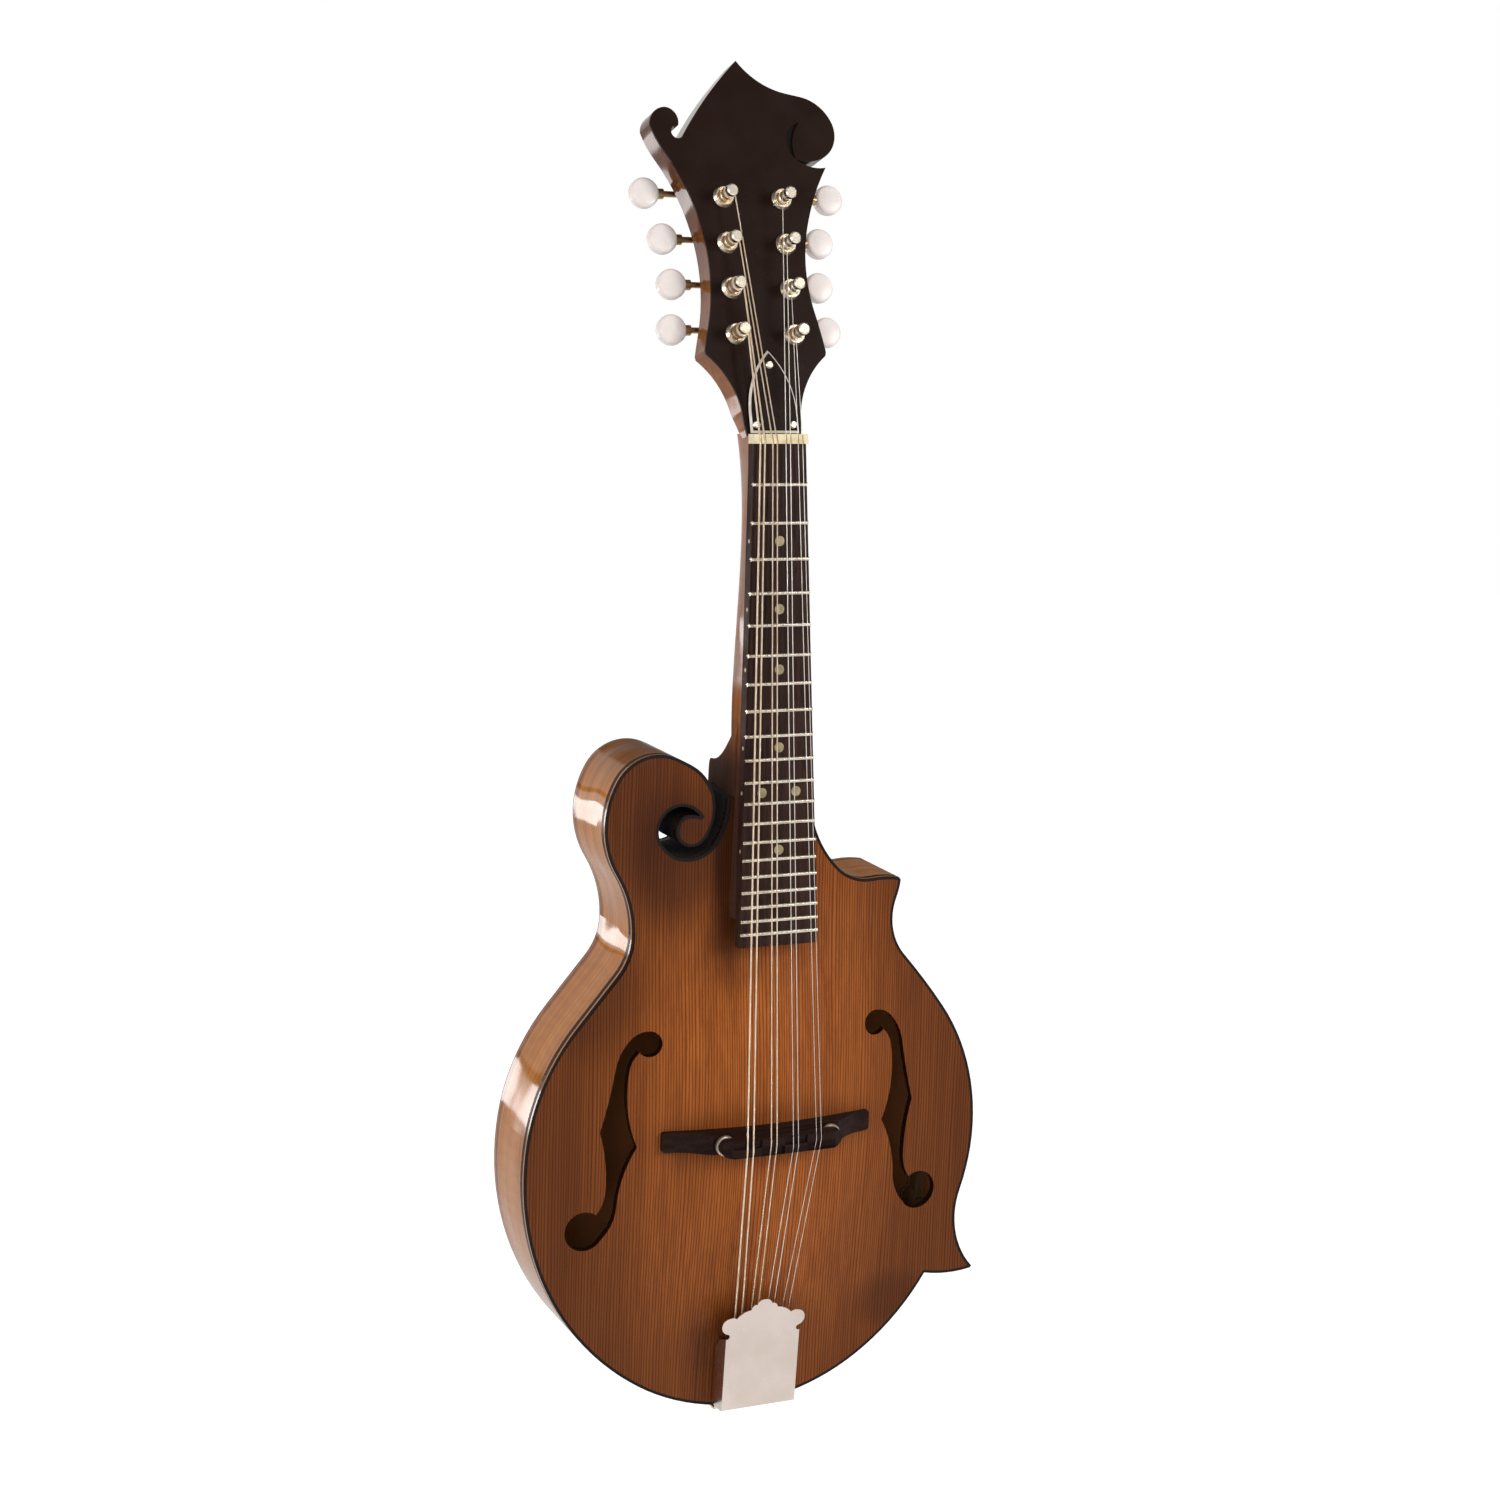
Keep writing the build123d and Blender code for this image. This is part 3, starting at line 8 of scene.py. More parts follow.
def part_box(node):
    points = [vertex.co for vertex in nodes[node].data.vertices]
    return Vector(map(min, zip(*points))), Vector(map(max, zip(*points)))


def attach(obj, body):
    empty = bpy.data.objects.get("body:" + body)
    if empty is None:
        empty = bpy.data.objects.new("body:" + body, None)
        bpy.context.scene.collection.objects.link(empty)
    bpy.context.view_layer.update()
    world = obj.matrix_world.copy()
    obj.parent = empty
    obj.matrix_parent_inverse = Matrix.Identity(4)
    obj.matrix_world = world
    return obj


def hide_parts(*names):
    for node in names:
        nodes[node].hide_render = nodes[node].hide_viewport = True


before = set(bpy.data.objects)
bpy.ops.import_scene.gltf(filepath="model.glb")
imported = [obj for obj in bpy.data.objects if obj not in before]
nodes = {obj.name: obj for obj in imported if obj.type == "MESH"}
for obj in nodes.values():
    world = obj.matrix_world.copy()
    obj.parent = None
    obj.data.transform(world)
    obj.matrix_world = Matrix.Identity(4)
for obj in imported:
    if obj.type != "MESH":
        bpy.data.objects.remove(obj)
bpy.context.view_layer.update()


# ---------------------------------------------------------------- sides and blocks
# The sides are thin maple bent round a head block, a tail block and a block behind the lower
# point, and mitred at the points. Basswood linings widen their edges for the plates. The sides
# are stained brown under a gloss lacquer that has settled a little unevenly.


def tone(code):
    """A colour written as it looks, turned into the shaders' linear values."""
    values = [int(code[i:i + 2], 16) / 255 for i in (1, 3, 5)]
    return [v / 12.92 if v <= 0.04045 else ((v + 0.055) / 1.055) ** 2.4 for v in values] + [1.0]


def place(tree, kind, inputs=None, **settings):
    """Adds a node to a tree; an input given as a socket is linked, any other value is set."""
    made = tree.nodes.new(kind)
    for name, value in settings.items():
        setattr(made, name, value)
    for key, value in (inputs or {}).items():
        if isinstance(value, bpy.types.NodeSocket):
            tree.links.new(value, made.inputs[key])
        else:
            made.inputs[key].default_value = value
    return made


def calc(tree, operation, *values):
    return place(tree, "ShaderNodeMath", dict(enumerate(values)), operation=operation).outputs[0]


def ramp(tree, value, start, end, low=0.0, high=1.0):
    """Eases from low to high while value goes from start to end."""
    inputs = {"Value": value, "From Min": start, "From Max": end, "To Min": low, "To Max": high}
    return place(tree, "ShaderNodeMapRange", inputs, interpolation_type="SMOOTHSTEP").outputs[0]


def blend(tree, factor, first, second):
    return place(tree, "ShaderNodeMix", {0: factor, 6: first, 7: second}, data_type="RGBA").outputs[2]


def stretched(tree, vector, x, y, z):
    inputs = {0: vector, 1: (x, y, z)}
    return place(tree, "ShaderNodeVectorMath", inputs, operation="MULTIPLY").outputs[0]


def noise(tree, vector, scale, detail=2.0, roughness=0.5):
    inputs = {"Vector": vector, "Scale": scale, "Detail": detail, "Roughness": roughness}
    return place(tree, "ShaderNodeTexNoise", inputs).outputs["Fac"]


def object_place(tree):
    return place(tree, "ShaderNodeTexCoord").outputs["Object"]


def axes(tree, vector):
    """The X, Y and Z of a vector."""
    return place(tree, "ShaderNodeSeparateXYZ", {0: vector}).outputs


def distance(tree, across, up):
    squares = calc(tree, "ADD", calc(tree, "MULTIPLY", across, across), calc(tree, "MULTIPLY", up, up))
    return calc(tree, "SQRT", squares)


def effect(name, inputs, outputs):
    """An empty shader node group with named sockets."""
    group = bpy.data.node_groups.new(name, "ShaderNodeTree")
    for socket, kind, value in inputs:
        made = group.interface.new_socket(socket, in_out="INPUT", socket_type="NodeSocket" + kind)
        if value is not None:
            made.default_value = value
    for socket, kind in outputs:
        group.interface.new_socket(socket, in_out="OUTPUT", socket_type="NodeSocket" + kind)
    start, end = group.nodes.new("NodeGroupInput"), group.nodes.new("NodeGroupOutput")
    return group, start.outputs, end.inputs


def use(tree, group, inputs):
    return place(tree, "ShaderNodeGroup", inputs, node_tree=group).outputs


# noise cells to the metre across, through and along the grain
FINE_LINES, BROAD_BANDS, SHORT_PORES = (520, 520, 9), (75, 75, 3), (1500, 1500, 70)


def make_wood_grain():
    """Growth lines along Z of the pattern's vector: lines, broad bands, and short pores."""
    group, given, result = effect(
        "wood grain",
        [("Vector", "Vector", None), ("Light", "Color", None), ("Dark", "Color", None),
         ("Lines", "Float", 0.5), ("Bands", "Float", 0.4), ("Pores", "Float", 0.3)],
        [("Color", "Color"), ("Height", "Float")],
    )
    fine = stretched(group, given["Vector"], *FINE_LINES)
    broad = stretched(group, given["Vector"], *BROAD_BANDS)
    short = stretched(group, given["Vector"], *SHORT_PORES)
    lines = ramp(group, noise(group, fine, 1.0, 3.0, 0.6), 0.38, 0.62)
    bands = ramp(group, noise(group, broad, 1.0), 0.3, 0.7)
    pores = ramp(group, noise(group, short, 1.0, 1.0), 0.56, 0.72)
    shade = calc(group, "MULTIPLY", lines, given["Lines"])
    shade = calc(group, "MULTIPLY_ADD", bands, given["Bands"], shade)
    shade = calc(group, "MULTIPLY_ADD", pores, given["Pores"], shade)
    color = blend(group, calc(group, "MINIMUM", shade, 1.0), given["Light"], given["Dark"])
    group.links.new(color, result["Color"])
    group.links.new(lines, result["Height"])
    return group


BODY_MIDDLE = -0.36
SIDE_RADIUS = 0.13          # of the sides on average, which turns angles into lengths


def make_around_body():
    """Lengths round the middle of the body, so that the grain of the sides runs round it."""
    group, given, result = effect(
        "around the body", [("Centre Z", "Float", BODY_MIDDLE)], [("Vector", "Vector")])
    parts = axes(group, object_place(group))
    up = calc(group, "SUBTRACT", parts["Z"], given["Centre Z"])
    along = calc(group, "MULTIPLY", calc(group, "ARCTAN2", parts["X"], up), SIDE_RADIUS)
    made = place(group, "ShaderNodeCombineXYZ", {0: parts["Y"], 1: parts["Y"], 2: along})
    group.links.new(made.outputs[0], result["Vector"])
    return group


def make_handling_marks():
    """Soft blotches where hands and cloths have dulled or polished a surface."""
    group, given, result = effect(
        "handling marks",
        [("Gloss", "Float", 0.2), ("Spread", "Float", 0.1), ("Size", "Float", 40.0)],
        [("Roughness", "Float")],
    )
    mask = ramp(group, noise(group, object_place(group), given["Size"], 4.0), 0.35, 0.7)
    dulled = calc(group, "MULTIPLY_ADD", mask, given["Spread"], given["Gloss"])
    group.links.new(dulled, result["Roughness"])
    return group


def make_lacquer_waves():
    """The slow unevenness of a hand-rubbed lacquer, which bends the edges of what it reflects."""
    group, given, result = effect("lacquer waves", [("Size", "Float", 24.0)], [("Height", "Float")])
    group.links.new(noise(group, object_place(group), given["Size"], 1.0), result["Height"])
    return group


def make_stain_and_shade_spot():
    """A soft oval of darker stain or of painted shade; the axis of the oval runs up the body."""
    group, given, result = effect(
        "stain and shade spot",
        [("Centre", "Vector", None), ("Width", "Float", 0.03), ("Height", "Float", 0.05),
         ("Edge", "Float", 0.45), ("Depth", "Float", 0.5)],
        [("Mask", "Float")],
    )
    inputs = {0: object_place(group), 1: given["Centre"]}
    away = place(group, "ShaderNodeVectorMath", inputs, operation="SUBTRACT").outputs[0]
    parts = axes(group, away)
    reach = distance(group, calc(group, "DIVIDE", parts["X"], given["Width"]),
                     calc(group, "DIVIDE", parts["Z"], given["Height"]))
    outer = calc(group, "ADD", 1.0, given["Edge"])
    inner = calc(group, "SUBTRACT", 1.0, given["Edge"])
    mask = calc(group, "MULTIPLY", ramp(group, reach, outer, inner), given["Depth"])
    group.links.new(mask, result["Mask"])
    return group


WOOD_GRAIN = make_wood_grain()
AROUND_BODY = make_around_body()
HANDLING_MARKS = make_handling_marks()
LACQUER_WAVES = make_lacquer_waves()
STAIN_AND_SHADE_SPOT = make_stain_and_shade_spot()
RIPPLE = 0.0022             # height of the lacquer's waves


def new_finish(name, **plain):
    """A material and its Principled shader, with plain numbers set on the shader's own sockets."""
    material = bpy.data.materials.new(name)
    material.use_nodes = True
    tree = material.node_tree
    shader = tree.nodes["Principled BSDF"]
    for key, value in plain.items():
        shader.inputs[key.replace("_", " ")].default_value = value
    return material, tree, shader


def color_with(tree, shader, color):
    tree.links.new(color, shader.inputs["Base Color"])


def finish_with(tree, shader, color, gloss, spread, size):
    """Links a colour, and a roughness that drifts with handling."""
    color_with(tree, shader, color)
    marks = use(tree, HANDLING_MARKS, {"Gloss": gloss, "Spread": spread, "Size": size})
    tree.links.new(marks["Roughness"], shader.inputs["Roughness"])


def rub_dull(tree, shader, mask, amount):
    """Adds to the roughness of a finish where the mask is."""
    marks = shader.inputs["Roughness"].links[0].from_socket
    tree.links.new(calc(tree, "MULTIPLY_ADD", mask, amount, marks), shader.inputs["Roughness"])


def raise_surface(tree, shader, height, depth, strength=1.0):
    inputs = {"Height": height, "Strength": strength, "Distance": depth}
    tree.links.new(place(tree, "ShaderNodeBump", inputs).outputs[0], shader.inputs["Normal"])


def grained(tree, vector, light, dark, lines=0.5, bands=0.4, pores=0.3):
    """The colour and height of wood whose grain runs along Z of the vector."""
    return use(tree, WOOD_GRAIN, {"Vector": vector, "Light": tone(light), "Dark": tone(dark),
                                  "Lines": lines, "Bands": bands, "Pores": pores})


def stain_and_shade_at(tree, x, z, width, height, depth=1.0, edge=0.45):
    """The mask of an oval of stain or of painted shade: its centre, half width, half height and depth.
    """
    inputs = {"Centre": (x, 0, z), "Width": width, "Height": height, "Edge": edge, "Depth": depth}
    return use(tree, STAIN_AND_SHADE_SPOT, inputs)["Mask"]


def make_lacquered_maple(name, light, dark, vector_group=None, curl=0.15, level=0.4):
    material, tree, shader = new_finish(name, Specular_IOR_Level=level)
    path = use(tree, vector_group, {})["Vector"] if vector_group else object_place(tree)
    grain = grained(tree, path, light, dark, lines=0.35, bands=0.35, pores=0.2)
    # the curl of the maple stands across the grain
    inputs = {"Vector": path, "Scale": 40.0, "Distortion": 6.0, "Detail": 2.0, "Detail Scale": 1.0}
    waves = place(tree, "ShaderNodeTexWave", inputs, bands_direction="Z").outputs["Fac"]
    color = blend(tree, calc(tree, "MULTIPLY", waves, curl), grain["Color"], tone(dark))
    finish_with(tree, shader, color, gloss=0.07, spread=0.06, size=30.0)
    raise_surface(tree, shader, use(tree, LACQUER_WAVES, {})["Height"], RIPPLE)
    return material, tree, shader, color


def make_bare_wood():
    material, tree, shader = new_finish("bare basswood", Roughness=0.8)
    grain = grained(tree, object_place(tree), "#8a6844", "#64482c")
    color_with(tree, shader, grain["Color"])
    raise_surface(tree, shader, grain["Height"], 0.0002, 0.3)
    return material


def dress(node, finish):
    """Gives a solid its finish."""
    mesh = nodes[node].data
    mesh.materials.clear()
    mesh.materials.append(finish)


SIDE_STAIN = ("#b8773a", "#804a22")
SIDE_MAPLE = make_lacquered_maple("stained side maple", *SIDE_STAIN, AROUND_BODY)[0]
BARE_WOOD = make_bare_wood()
for node in ("rib_bass", "rib_treble", "rib_tail", "rib_shoulder"):
    dress(node, SIDE_MAPLE)
for node in ("linings", "tone_bars", "tail_block", "point_block"):
    dress(node, BARE_WOOD)

# ovals by their centre across and up, half width and half height: the dark top of the scroll, and
# two of painted shade that darken the walls of its slot nearly black, inside its curl and towards the
# neck
SCROLL_TOP = (-0.050, -0.148, 0.036, 0.020)
SLOT_SHADE_OVALS = ((-0.0435, -0.190, 0.0195, 0.0195), (-0.0230, -0.180, 0.0105, 0.0130))


# the mask of the painted shade on the walls of the scroll's slot
def painted_slot_shade(tree):
    slot = 0.0
    for oval in SLOT_SHADE_OVALS:
        slot = calc(tree, "MAXIMUM", slot, stain_and_shade_at(tree, *oval, edge=0.1))
    return slot


def make_block_maple():
    """The side of the scroll, darker at its top, with painted shade making the slot's walls nearly
    black, and their lacquer dull.
    """
    material, tree, shader, color = make_lacquered_maple(
        "stained block maple", *SIDE_STAIN, AROUND_BODY)
    top = stain_and_shade_at(tree, *SCROLL_TOP, depth=0.6, edge=0.5)
    color = blend(tree, top, color, tone("#4a2411"))
    slot = painted_slot_shade(tree)
    # painted shade: the walls of the slot are painted nearly black
    color_with(tree, shader, blend(tree, slot, color, tone("#140a07")))
    rub_dull(tree, shader, slot, 0.7)
    return material


dress("head_block", make_block_maple())


# ---------------------------------------------------------------- top plate
# The top is carved spruce with fine straight grain. The stain is golden brown in the middle and
# rubbed darker towards the edge and round the scroll, under a thin lacquer. Beside the neck painted
# shadow deepens the stain, and painted shadow also lies under the fingerboard's end and at the
# tailpiece.

RING_ANGLE = 4200.0         # radians to the metre across the plate: a ring every 1.5 mm
RING_DRIFT = 34.0           # radians that the rings wander by
# the middle of the golden burst, and how far it reaches across and up
BURST_MIDDLE = (0.0025, -0.32)
BURST_REACH = (1 / 12, 1 / 6)
# centre across and up, half width, half height and depth of each darker oval. The narrow one beside
# the fingerboard's bass edge is stain deepened by painted shadow; the flat one under the fingerboard's
# end and the two round the tailpiece are painted shadow; the rest darken the stain
STAIN_AND_SHADOW_SPOTS = (
    (-0.050, -0.202, 0.024, 0.034, 0.62), (-0.0215, -0.190, 0.0085, 0.070, 0.80),
    (-0.062, -0.168, 0.042, 0.040, 0.26), (-0.089, -0.264, 0.020, 0.036, 0.42),
    (-0.008, -0.250, 0.036, 0.020, 0.22), (0.001, -0.346, 0.062, 0.015, 0.30),
    (-0.005, -0.458, 0.036, 0.022, 0.32), (0.080, -0.450, 0.020, 0.014, 0.35),
    (-0.012, -0.425, 0.010, 0.050, 0.12), (0.060, -0.300, 0.040, 0.130, 0.14),
)


def face_normal(tree):
    return place(tree, "ShaderNodeNewGeometry").outputs["Normal"]


def make_stained_spruce():
    material, tree, shader = new_finish("stained spruce", Specular_IOR_Level=0.1)
    spot = object_place(tree)
    # yearly rings cut on the quarter: thin dark lines of slightly uneven spacing
    drift = noise(tree, stretched(tree, spot, 60, 0, 2.5), 1.0, 2.0)
    turned = calc(tree, "MULTIPLY", axes(tree, spot)["X"], RING_ANGLE)
    rings = calc(tree, "SINE", calc(tree, "MULTIPLY_ADD", drift, RING_DRIFT, turned))
    late = ramp(tree, rings, 0.0, 0.95, 0.0, 0.72)
    grain = grained(tree, spot, "#ae622b", "#743a17", lines=0.32, bands=0.28, pores=0.12)
    lined = blend(tree, late, grain["Color"], tone("#5c2a10"))
    # the burst: dark at the edge of the plate, golden in the middle
    (middle_x, middle_z), (wide, high) = BURST_MIDDLE, BURST_REACH
    away = place(tree, "ShaderNodeMapping", {
        "Vector": spot, "Location": (-middle_x / wide, 0.0, -middle_z / high),
        "Scale": (1 / wide, 0.0, 1 / high)}).outputs[0]
    reach = place(tree, "ShaderNodeVectorMath", {0: away}, operation="LENGTH").outputs["Value"]
    dark = ramp(tree, reach, 0.30, 1.38, 0.03, 0.68)
    for oval in STAIN_AND_SHADOW_SPOTS:
        # each oval, of stain or of painted shadow, covers part of what still shows
        mask = stain_and_shade_at(tree, *oval)
        left = calc(tree, "SUBTRACT", 1.0, dark)
        dark = calc(tree, "MULTIPLY_ADD", left, mask, dark)
    # the darkest stain, which is also the colour of the painted shadows
    color = blend(tree, dark, lined, tone("#2b130c"))
    # the upright cut edges, as round the sound holes, are darkened nearly black
    facing = calc(tree, "ABSOLUTE", axes(tree, face_normal(tree))["Y"])
    color = blend(tree, ramp(tree, facing, 0.5, 0.25), color, tone("#241009"))
    finish_with(tree, shader, color, gloss=0.26, spread=0.08, size=25.0)
    raise_surface(tree, shader, late, 0.00004, 0.6)
    return material


dress("top_plate", make_stained_spruce())


# ---------------------------------------------------------------- back plate
# The back is carved from maple and finished as the sides are, with its curl across the body.
# Inside, the wood is left bare and has darkened.


def make_back_maple():
    material, tree, shader, color = make_lacquered_maple(
        "stained back maple", "#945c34", "#5c3219", curl=0.4)
    inside = calc(tree, "LESS_THAN", axes(tree, face_normal(tree))["Y"], -0.3)
    color_with(tree, shader, blend(tree, inside, color, tone("#a86c42")))
    return material


dress("back_plate", make_back_maple())


# ---------------------------------------------------------------- bindings
# A strip is let into the edge of each plate and scraped flush: a black line that shows at the
# corner, backed by maple that is stained and lacquered with the sides.

LINE_WIDTH, LINE_FADE = 0.0005, 0.0001


def make_binding(node, outward):
    name = "stained " + node.replace("_", " ")
    material, tree, shader, color = make_lacquered_maple(name, *SIDE_STAIN, AROUND_BODY)
    low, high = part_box(node)
    edge = low[1] if outward < 0 else high[1]
    depth = calc(tree, "SUBTRACT", axes(tree, object_place(tree))["Y"], edge)
    black = ramp(tree, calc(tree, "ABSOLUTE", depth), LINE_WIDTH + LINE_FADE, LINE_WIDTH)
    # painted shade: along the walls of the scroll's slot the binding is painted near black as well
    black = calc(tree, "MAXIMUM", black, painted_slot_shade(tree))
    color_with(tree, shader, blend(tree, black, color, tone("#150a06")))
    rub_dull(tree, shader, black, 0.9)
    return material


dress("top_binding", make_binding("top_binding", -1))
dress("back_binding", make_binding("back_binding", 1))


# ---------------------------------------------------------------- neck
# The neck is one piece of maple from the head down to the heel, with the riser that lifts the
# fingerboard off the body. The stain is darkest on the head and below the joint with the body,
# and the lacquer is rubbed dull on the heel and in the groove beside the head's ear.

# the heights between which the stain darkens and the lacquer turns dull
HEAD_DARKENS, HEEL_DARKENS, HEEL_DULLS = (0.01, 0.12), (-0.125, -0.165), (-0.112, -0.128)
GROOVE_OVAL = (0.0272, 0.1452, 0.0085, 0.017)


def make_neck_maple():
    material, tree, shader, color = make_lacquered_maple(
        "stained neck maple", "#95592b", "#5f3519", level=0.32)
    height = axes(tree, object_place(tree))["Z"]
    heel = ramp(tree, height, *HEEL_DARKENS, 0.0, 0.85)
    head = ramp(tree, height, *HEAD_DARKENS, 0.0, 0.62)
    stained = blend(tree, calc(tree, "MAXIMUM", heel, head), color, tone("#2c120d"))
    # the groove beside the head's ear is painted near black
    groove = stain_and_shade_at(tree, *GROOVE_OVAL, edge=0.15)
    color_with(tree, shader, blend(tree, groove, stained, tone("#0d0605")))
    rub_dull(tree, shader, calc(tree, "MAXIMUM", ramp(tree, height, *HEEL_DULLS), groove), 0.9)
    return material


dress("neck", make_neck_maple())


# ---------------------------------------------------------------- fingerboard
# A rosewood board with twenty frets hammered into sawn slots, round markers let into its face
# and small ones into its bass edge. The nut of bone is glued against its end.


def make_rosewood():
    material, tree, shader = new_finish("rosewood", Specular_IOR_Level=0.08)
    grain = grained(tree, object_place(tree), "#38241e", "#1f110e", pores=0.4)
    finish_with(tree, shader, grain["Color"], gloss=0.4, spread=0.2, size=50.0)
    raise_surface(tree, shader, grain["Height"], 0.0001, 0.3)
    return material


def clouded(tree, color, tint, size, detail=4.0, most=1.0):
    """A colour that drifts to its tint in soft clouds."""
    cloud = ramp(tree, noise(tree, object_place(tree), size, detail), 0.35, 0.7, 0.0, most)
    return blend(tree, cloud, tone(color), tone(tint))


def make_metal(name, color, tint, rough, spread=0.08, size=120.0):
    """A plated or polished metal whose gloss and colour drift a little."""
    material, tree, shader = new_finish(name, Metallic=1.0)
    finish_with(tree, shader, clouded(tree, color, tint, size), rough, spread, size)
    return material


def make_cream(name, color, dark, rough):
    material, tree, shader = new_finish(name, Subsurface_Weight=0.1, Subsurface_Scale=0.002)
    finish_with(tree, shader, clouded(tree, color, dark, 300.0), rough, spread=0.1, size=300.0)
    return material


dress("fingerboard", make_rosewood())
dress("frets", make_metal("fret wire", "#e6ddcf", "#c9bda9", 0.2))
dress("position_dots", make_cream("pearl dots", "#a99a78", "#8a7a57", 0.3))
dress("nut", make_cream("bone", "#ddcda6", "#c5b386", 0.35))


# ---------------------------------------------------------------- head
# A thin black veneer faces the head. Over the truss rod's nut a cover of laminated plastic,
# black over white, is held by three screws; its bevelled edge shows the white layer.

HEAD_TILT = math.radians(17.8)
HEAD_FRONT = Vector((0, -math.cos(HEAD_TILT), math.sin(HEAD_TILT)))
BEVEL_LEAN = (0.4, 0.95)    # how far the bevel's faces turn to the front, between side and face


def make_gloss_black(name, color, gloss, level):
    material, tree, shader = new_finish(name, Specular_IOR_Level=level)
    mixed = clouded(tree, color, "#2a1b15", 45.0, detail=3.0, most=0.35)
    finish_with(tree, shader, mixed, gloss, spread=0.12, size=60.0)
    return material


def make_white_layer():
    material, tree, shader = new_finish("cover white edge", Specular_IOR_Level=0.3)
    color = clouded(tree, "#e8e2d8", "#d0c6b8", 200.0)
    finish_with(tree, shader, color, gloss=0.3, spread=0.2, size=200.0)
    return material


def add_piece(name, mesh, body, slot, *replaced):
    piece = bpy.data.objects.new(name, mesh)
    bpy.context.scene.collection.objects.link(piece)
    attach(piece, body)
    if replaced:
        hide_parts(*replaced)


def make_cover():
    mesh = nodes["truss_rod_cover"].data.copy()
    mesh.materials.clear()
    mesh.materials.append(make_gloss_black("cover black", "#1d120e", 0.22, 0.07))
    mesh.materials.append(make_white_layer())
    low, high = BEVEL_LEAN
    for face in mesh.polygons:
        face.material_index = 1 if low < face.normal.dot(HEAD_FRONT) < high else 0
    return mesh


dress("head_overlay", make_gloss_black("head veneer", "#20130e", 0.25, 0.06))
add_piece("truss_rod_cover_finished", make_cover(), "instrument", "cover_laminate", "truss_rod_cover")
dress("truss_rod", make_metal("rod steel", "#8d8d90", "#77777a", 0.4))
dress("truss_rod_nut", make_metal("plain brass", "#b8935a", "#957443", 0.3))


# ---------------------------------------------------------------- tuners
# Each string winds on a nickel-plated post that turns in a bushing. Behind the head a plate with
# ears carries the worm that drives the post's gear; the player turns its pearl button.

NICKEL = make_metal("nickel plate", "#f8ecda", "#e8d6bc", 0.22)
WORM_BRONZE = make_metal("plated worm", "#b79a74", "#8f7350", 0.26)
dress("tuner_plates", make_metal("tuner plate nickel", "#cfc6ba", "#b5a893", 0.26))
dress("post_bushings", NICKEL)

THREAD_PITCH = 0.00177
THREAD_START, THREAD_END = 0.0124, 0.0194   # from the middle of the head
THREAD_LENGTH = THREAD_END - THREAD_START
THREAD_RADIUS, THREAD_RIDGE = 0.0018, 0.0005
BUTTON_RADIUS, BUTTON_HALF = 0.0075, 0.0035
BUTTON_EDGE, BUTTON_DOME = 0.0019, 0.0003
FACE_STEPS, EDGE_STEPS = 4, 8


def add_node(tree, kind, inputs=None, **settings):
    """Adds a node to a geometry tree and gives back its first output."""
    return place(tree, kind, inputs, **settings).outputs[0]


def geometry_tree(name, inputs):
    """A Geometry Nodes tree with named inputs that ends in Realize Instances and Set Material."""
    tree = bpy.data.node_groups.new(name, "GeometryNodeTree")
    for socket, kind in inputs:
        tree.interface.new_socket(socket, in_out="INPUT", socket_type="NodeSocket" + kind)
    tree.interface.new_socket("Material", in_out="INPUT", socket_type="NodeSocketMaterial")
    tree.interface.new_socket("Geometry", in_out="OUTPUT", socket_type="NodeSocketGeometry")
    given = tree.nodes.new("NodeGroupInput").outputs
    result = tree.nodes.new("NodeGroupOutput").inputs

    def end_with(geometry, smooth=True):
        real = add_node(tree, "GeometryNodeRealizeInstances", {0: geometry})
        shaded = add_node(tree, "GeometryNodeSetShadeSmooth",
                          {"Geometry": real, "Shade Smooth": smooth})
        made = add_node(tree, "GeometryNodeSetMaterial",
                        {"Geometry": shaded, "Material": given["Material"]})
        tree.links.new(made, result["Geometry"])

    return tree, given, end_with


def grown(name, tree, values):
    """The plain mesh that a geometry tree makes of the values given for its named inputs."""
    holder = bpy.data.objects.new(name, bpy.data.meshes.new(name + "_start"))
    bpy.context.scene.collection.objects.link(holder)
    modifier = holder.modifiers.new("shape", "NODES")
    modifier.node_group = tree
    sockets = {item.name: item.identifier
               for item in tree.interface.items_tree if item.in_out == "INPUT"}
    for key, value in values.items():
        modifier[sockets[key]] = value
    holder.update_tag()
    ready = holder.evaluated_get(bpy.context.evaluated_depsgraph_get())
    mesh = bpy.data.meshes.new_from_object(ready)
    holder.modifiers.remove(modifier)
    bpy.data.objects.remove(holder)
    mesh.name = name
    return mesh


def make_thread_tree():
    """A ridge of triangular section wound as a helix round X, then leaned as the head leans."""
    tree, given, end_with = geometry_tree("worm thread", [
        ("Centre", "Vector"), ("Lean", "Vector"), ("Turns", "Float"), ("Length", "Float"),
        ("Radius", "Float"), ("Ridge", "Float")])
    helix = add_node(tree, "GeometryNodeCurveSpiral", {
        "Resolution": 28, "Rotations": given["Turns"], "Start Radius": given["Radius"],
        "End Radius": given["Radius"], "Height": given["Length"]})
    section = add_node(tree, "GeometryNodeCurvePrimitiveCircle",
                       {"Resolution": 3, "Radius": given["Ridge"]}, mode="RADIUS")
    ridge = add_node(tree, "GeometryNodeCurveToMesh",
                     {"Curve": helix, "Profile Curve": section, "Fill Caps": True})
    across = add_node(tree, "GeometryNodeTransform",
                      {"Geometry": ridge, "Rotation": (0, math.radians(90), 0)})
    leaned = add_node(tree, "GeometryNodeTransform",
                      {"Geometry": across, "Translation": given["Centre"], "Rotation": given["Lean"]})
    end_with(leaned, smooth=False)
    return tree


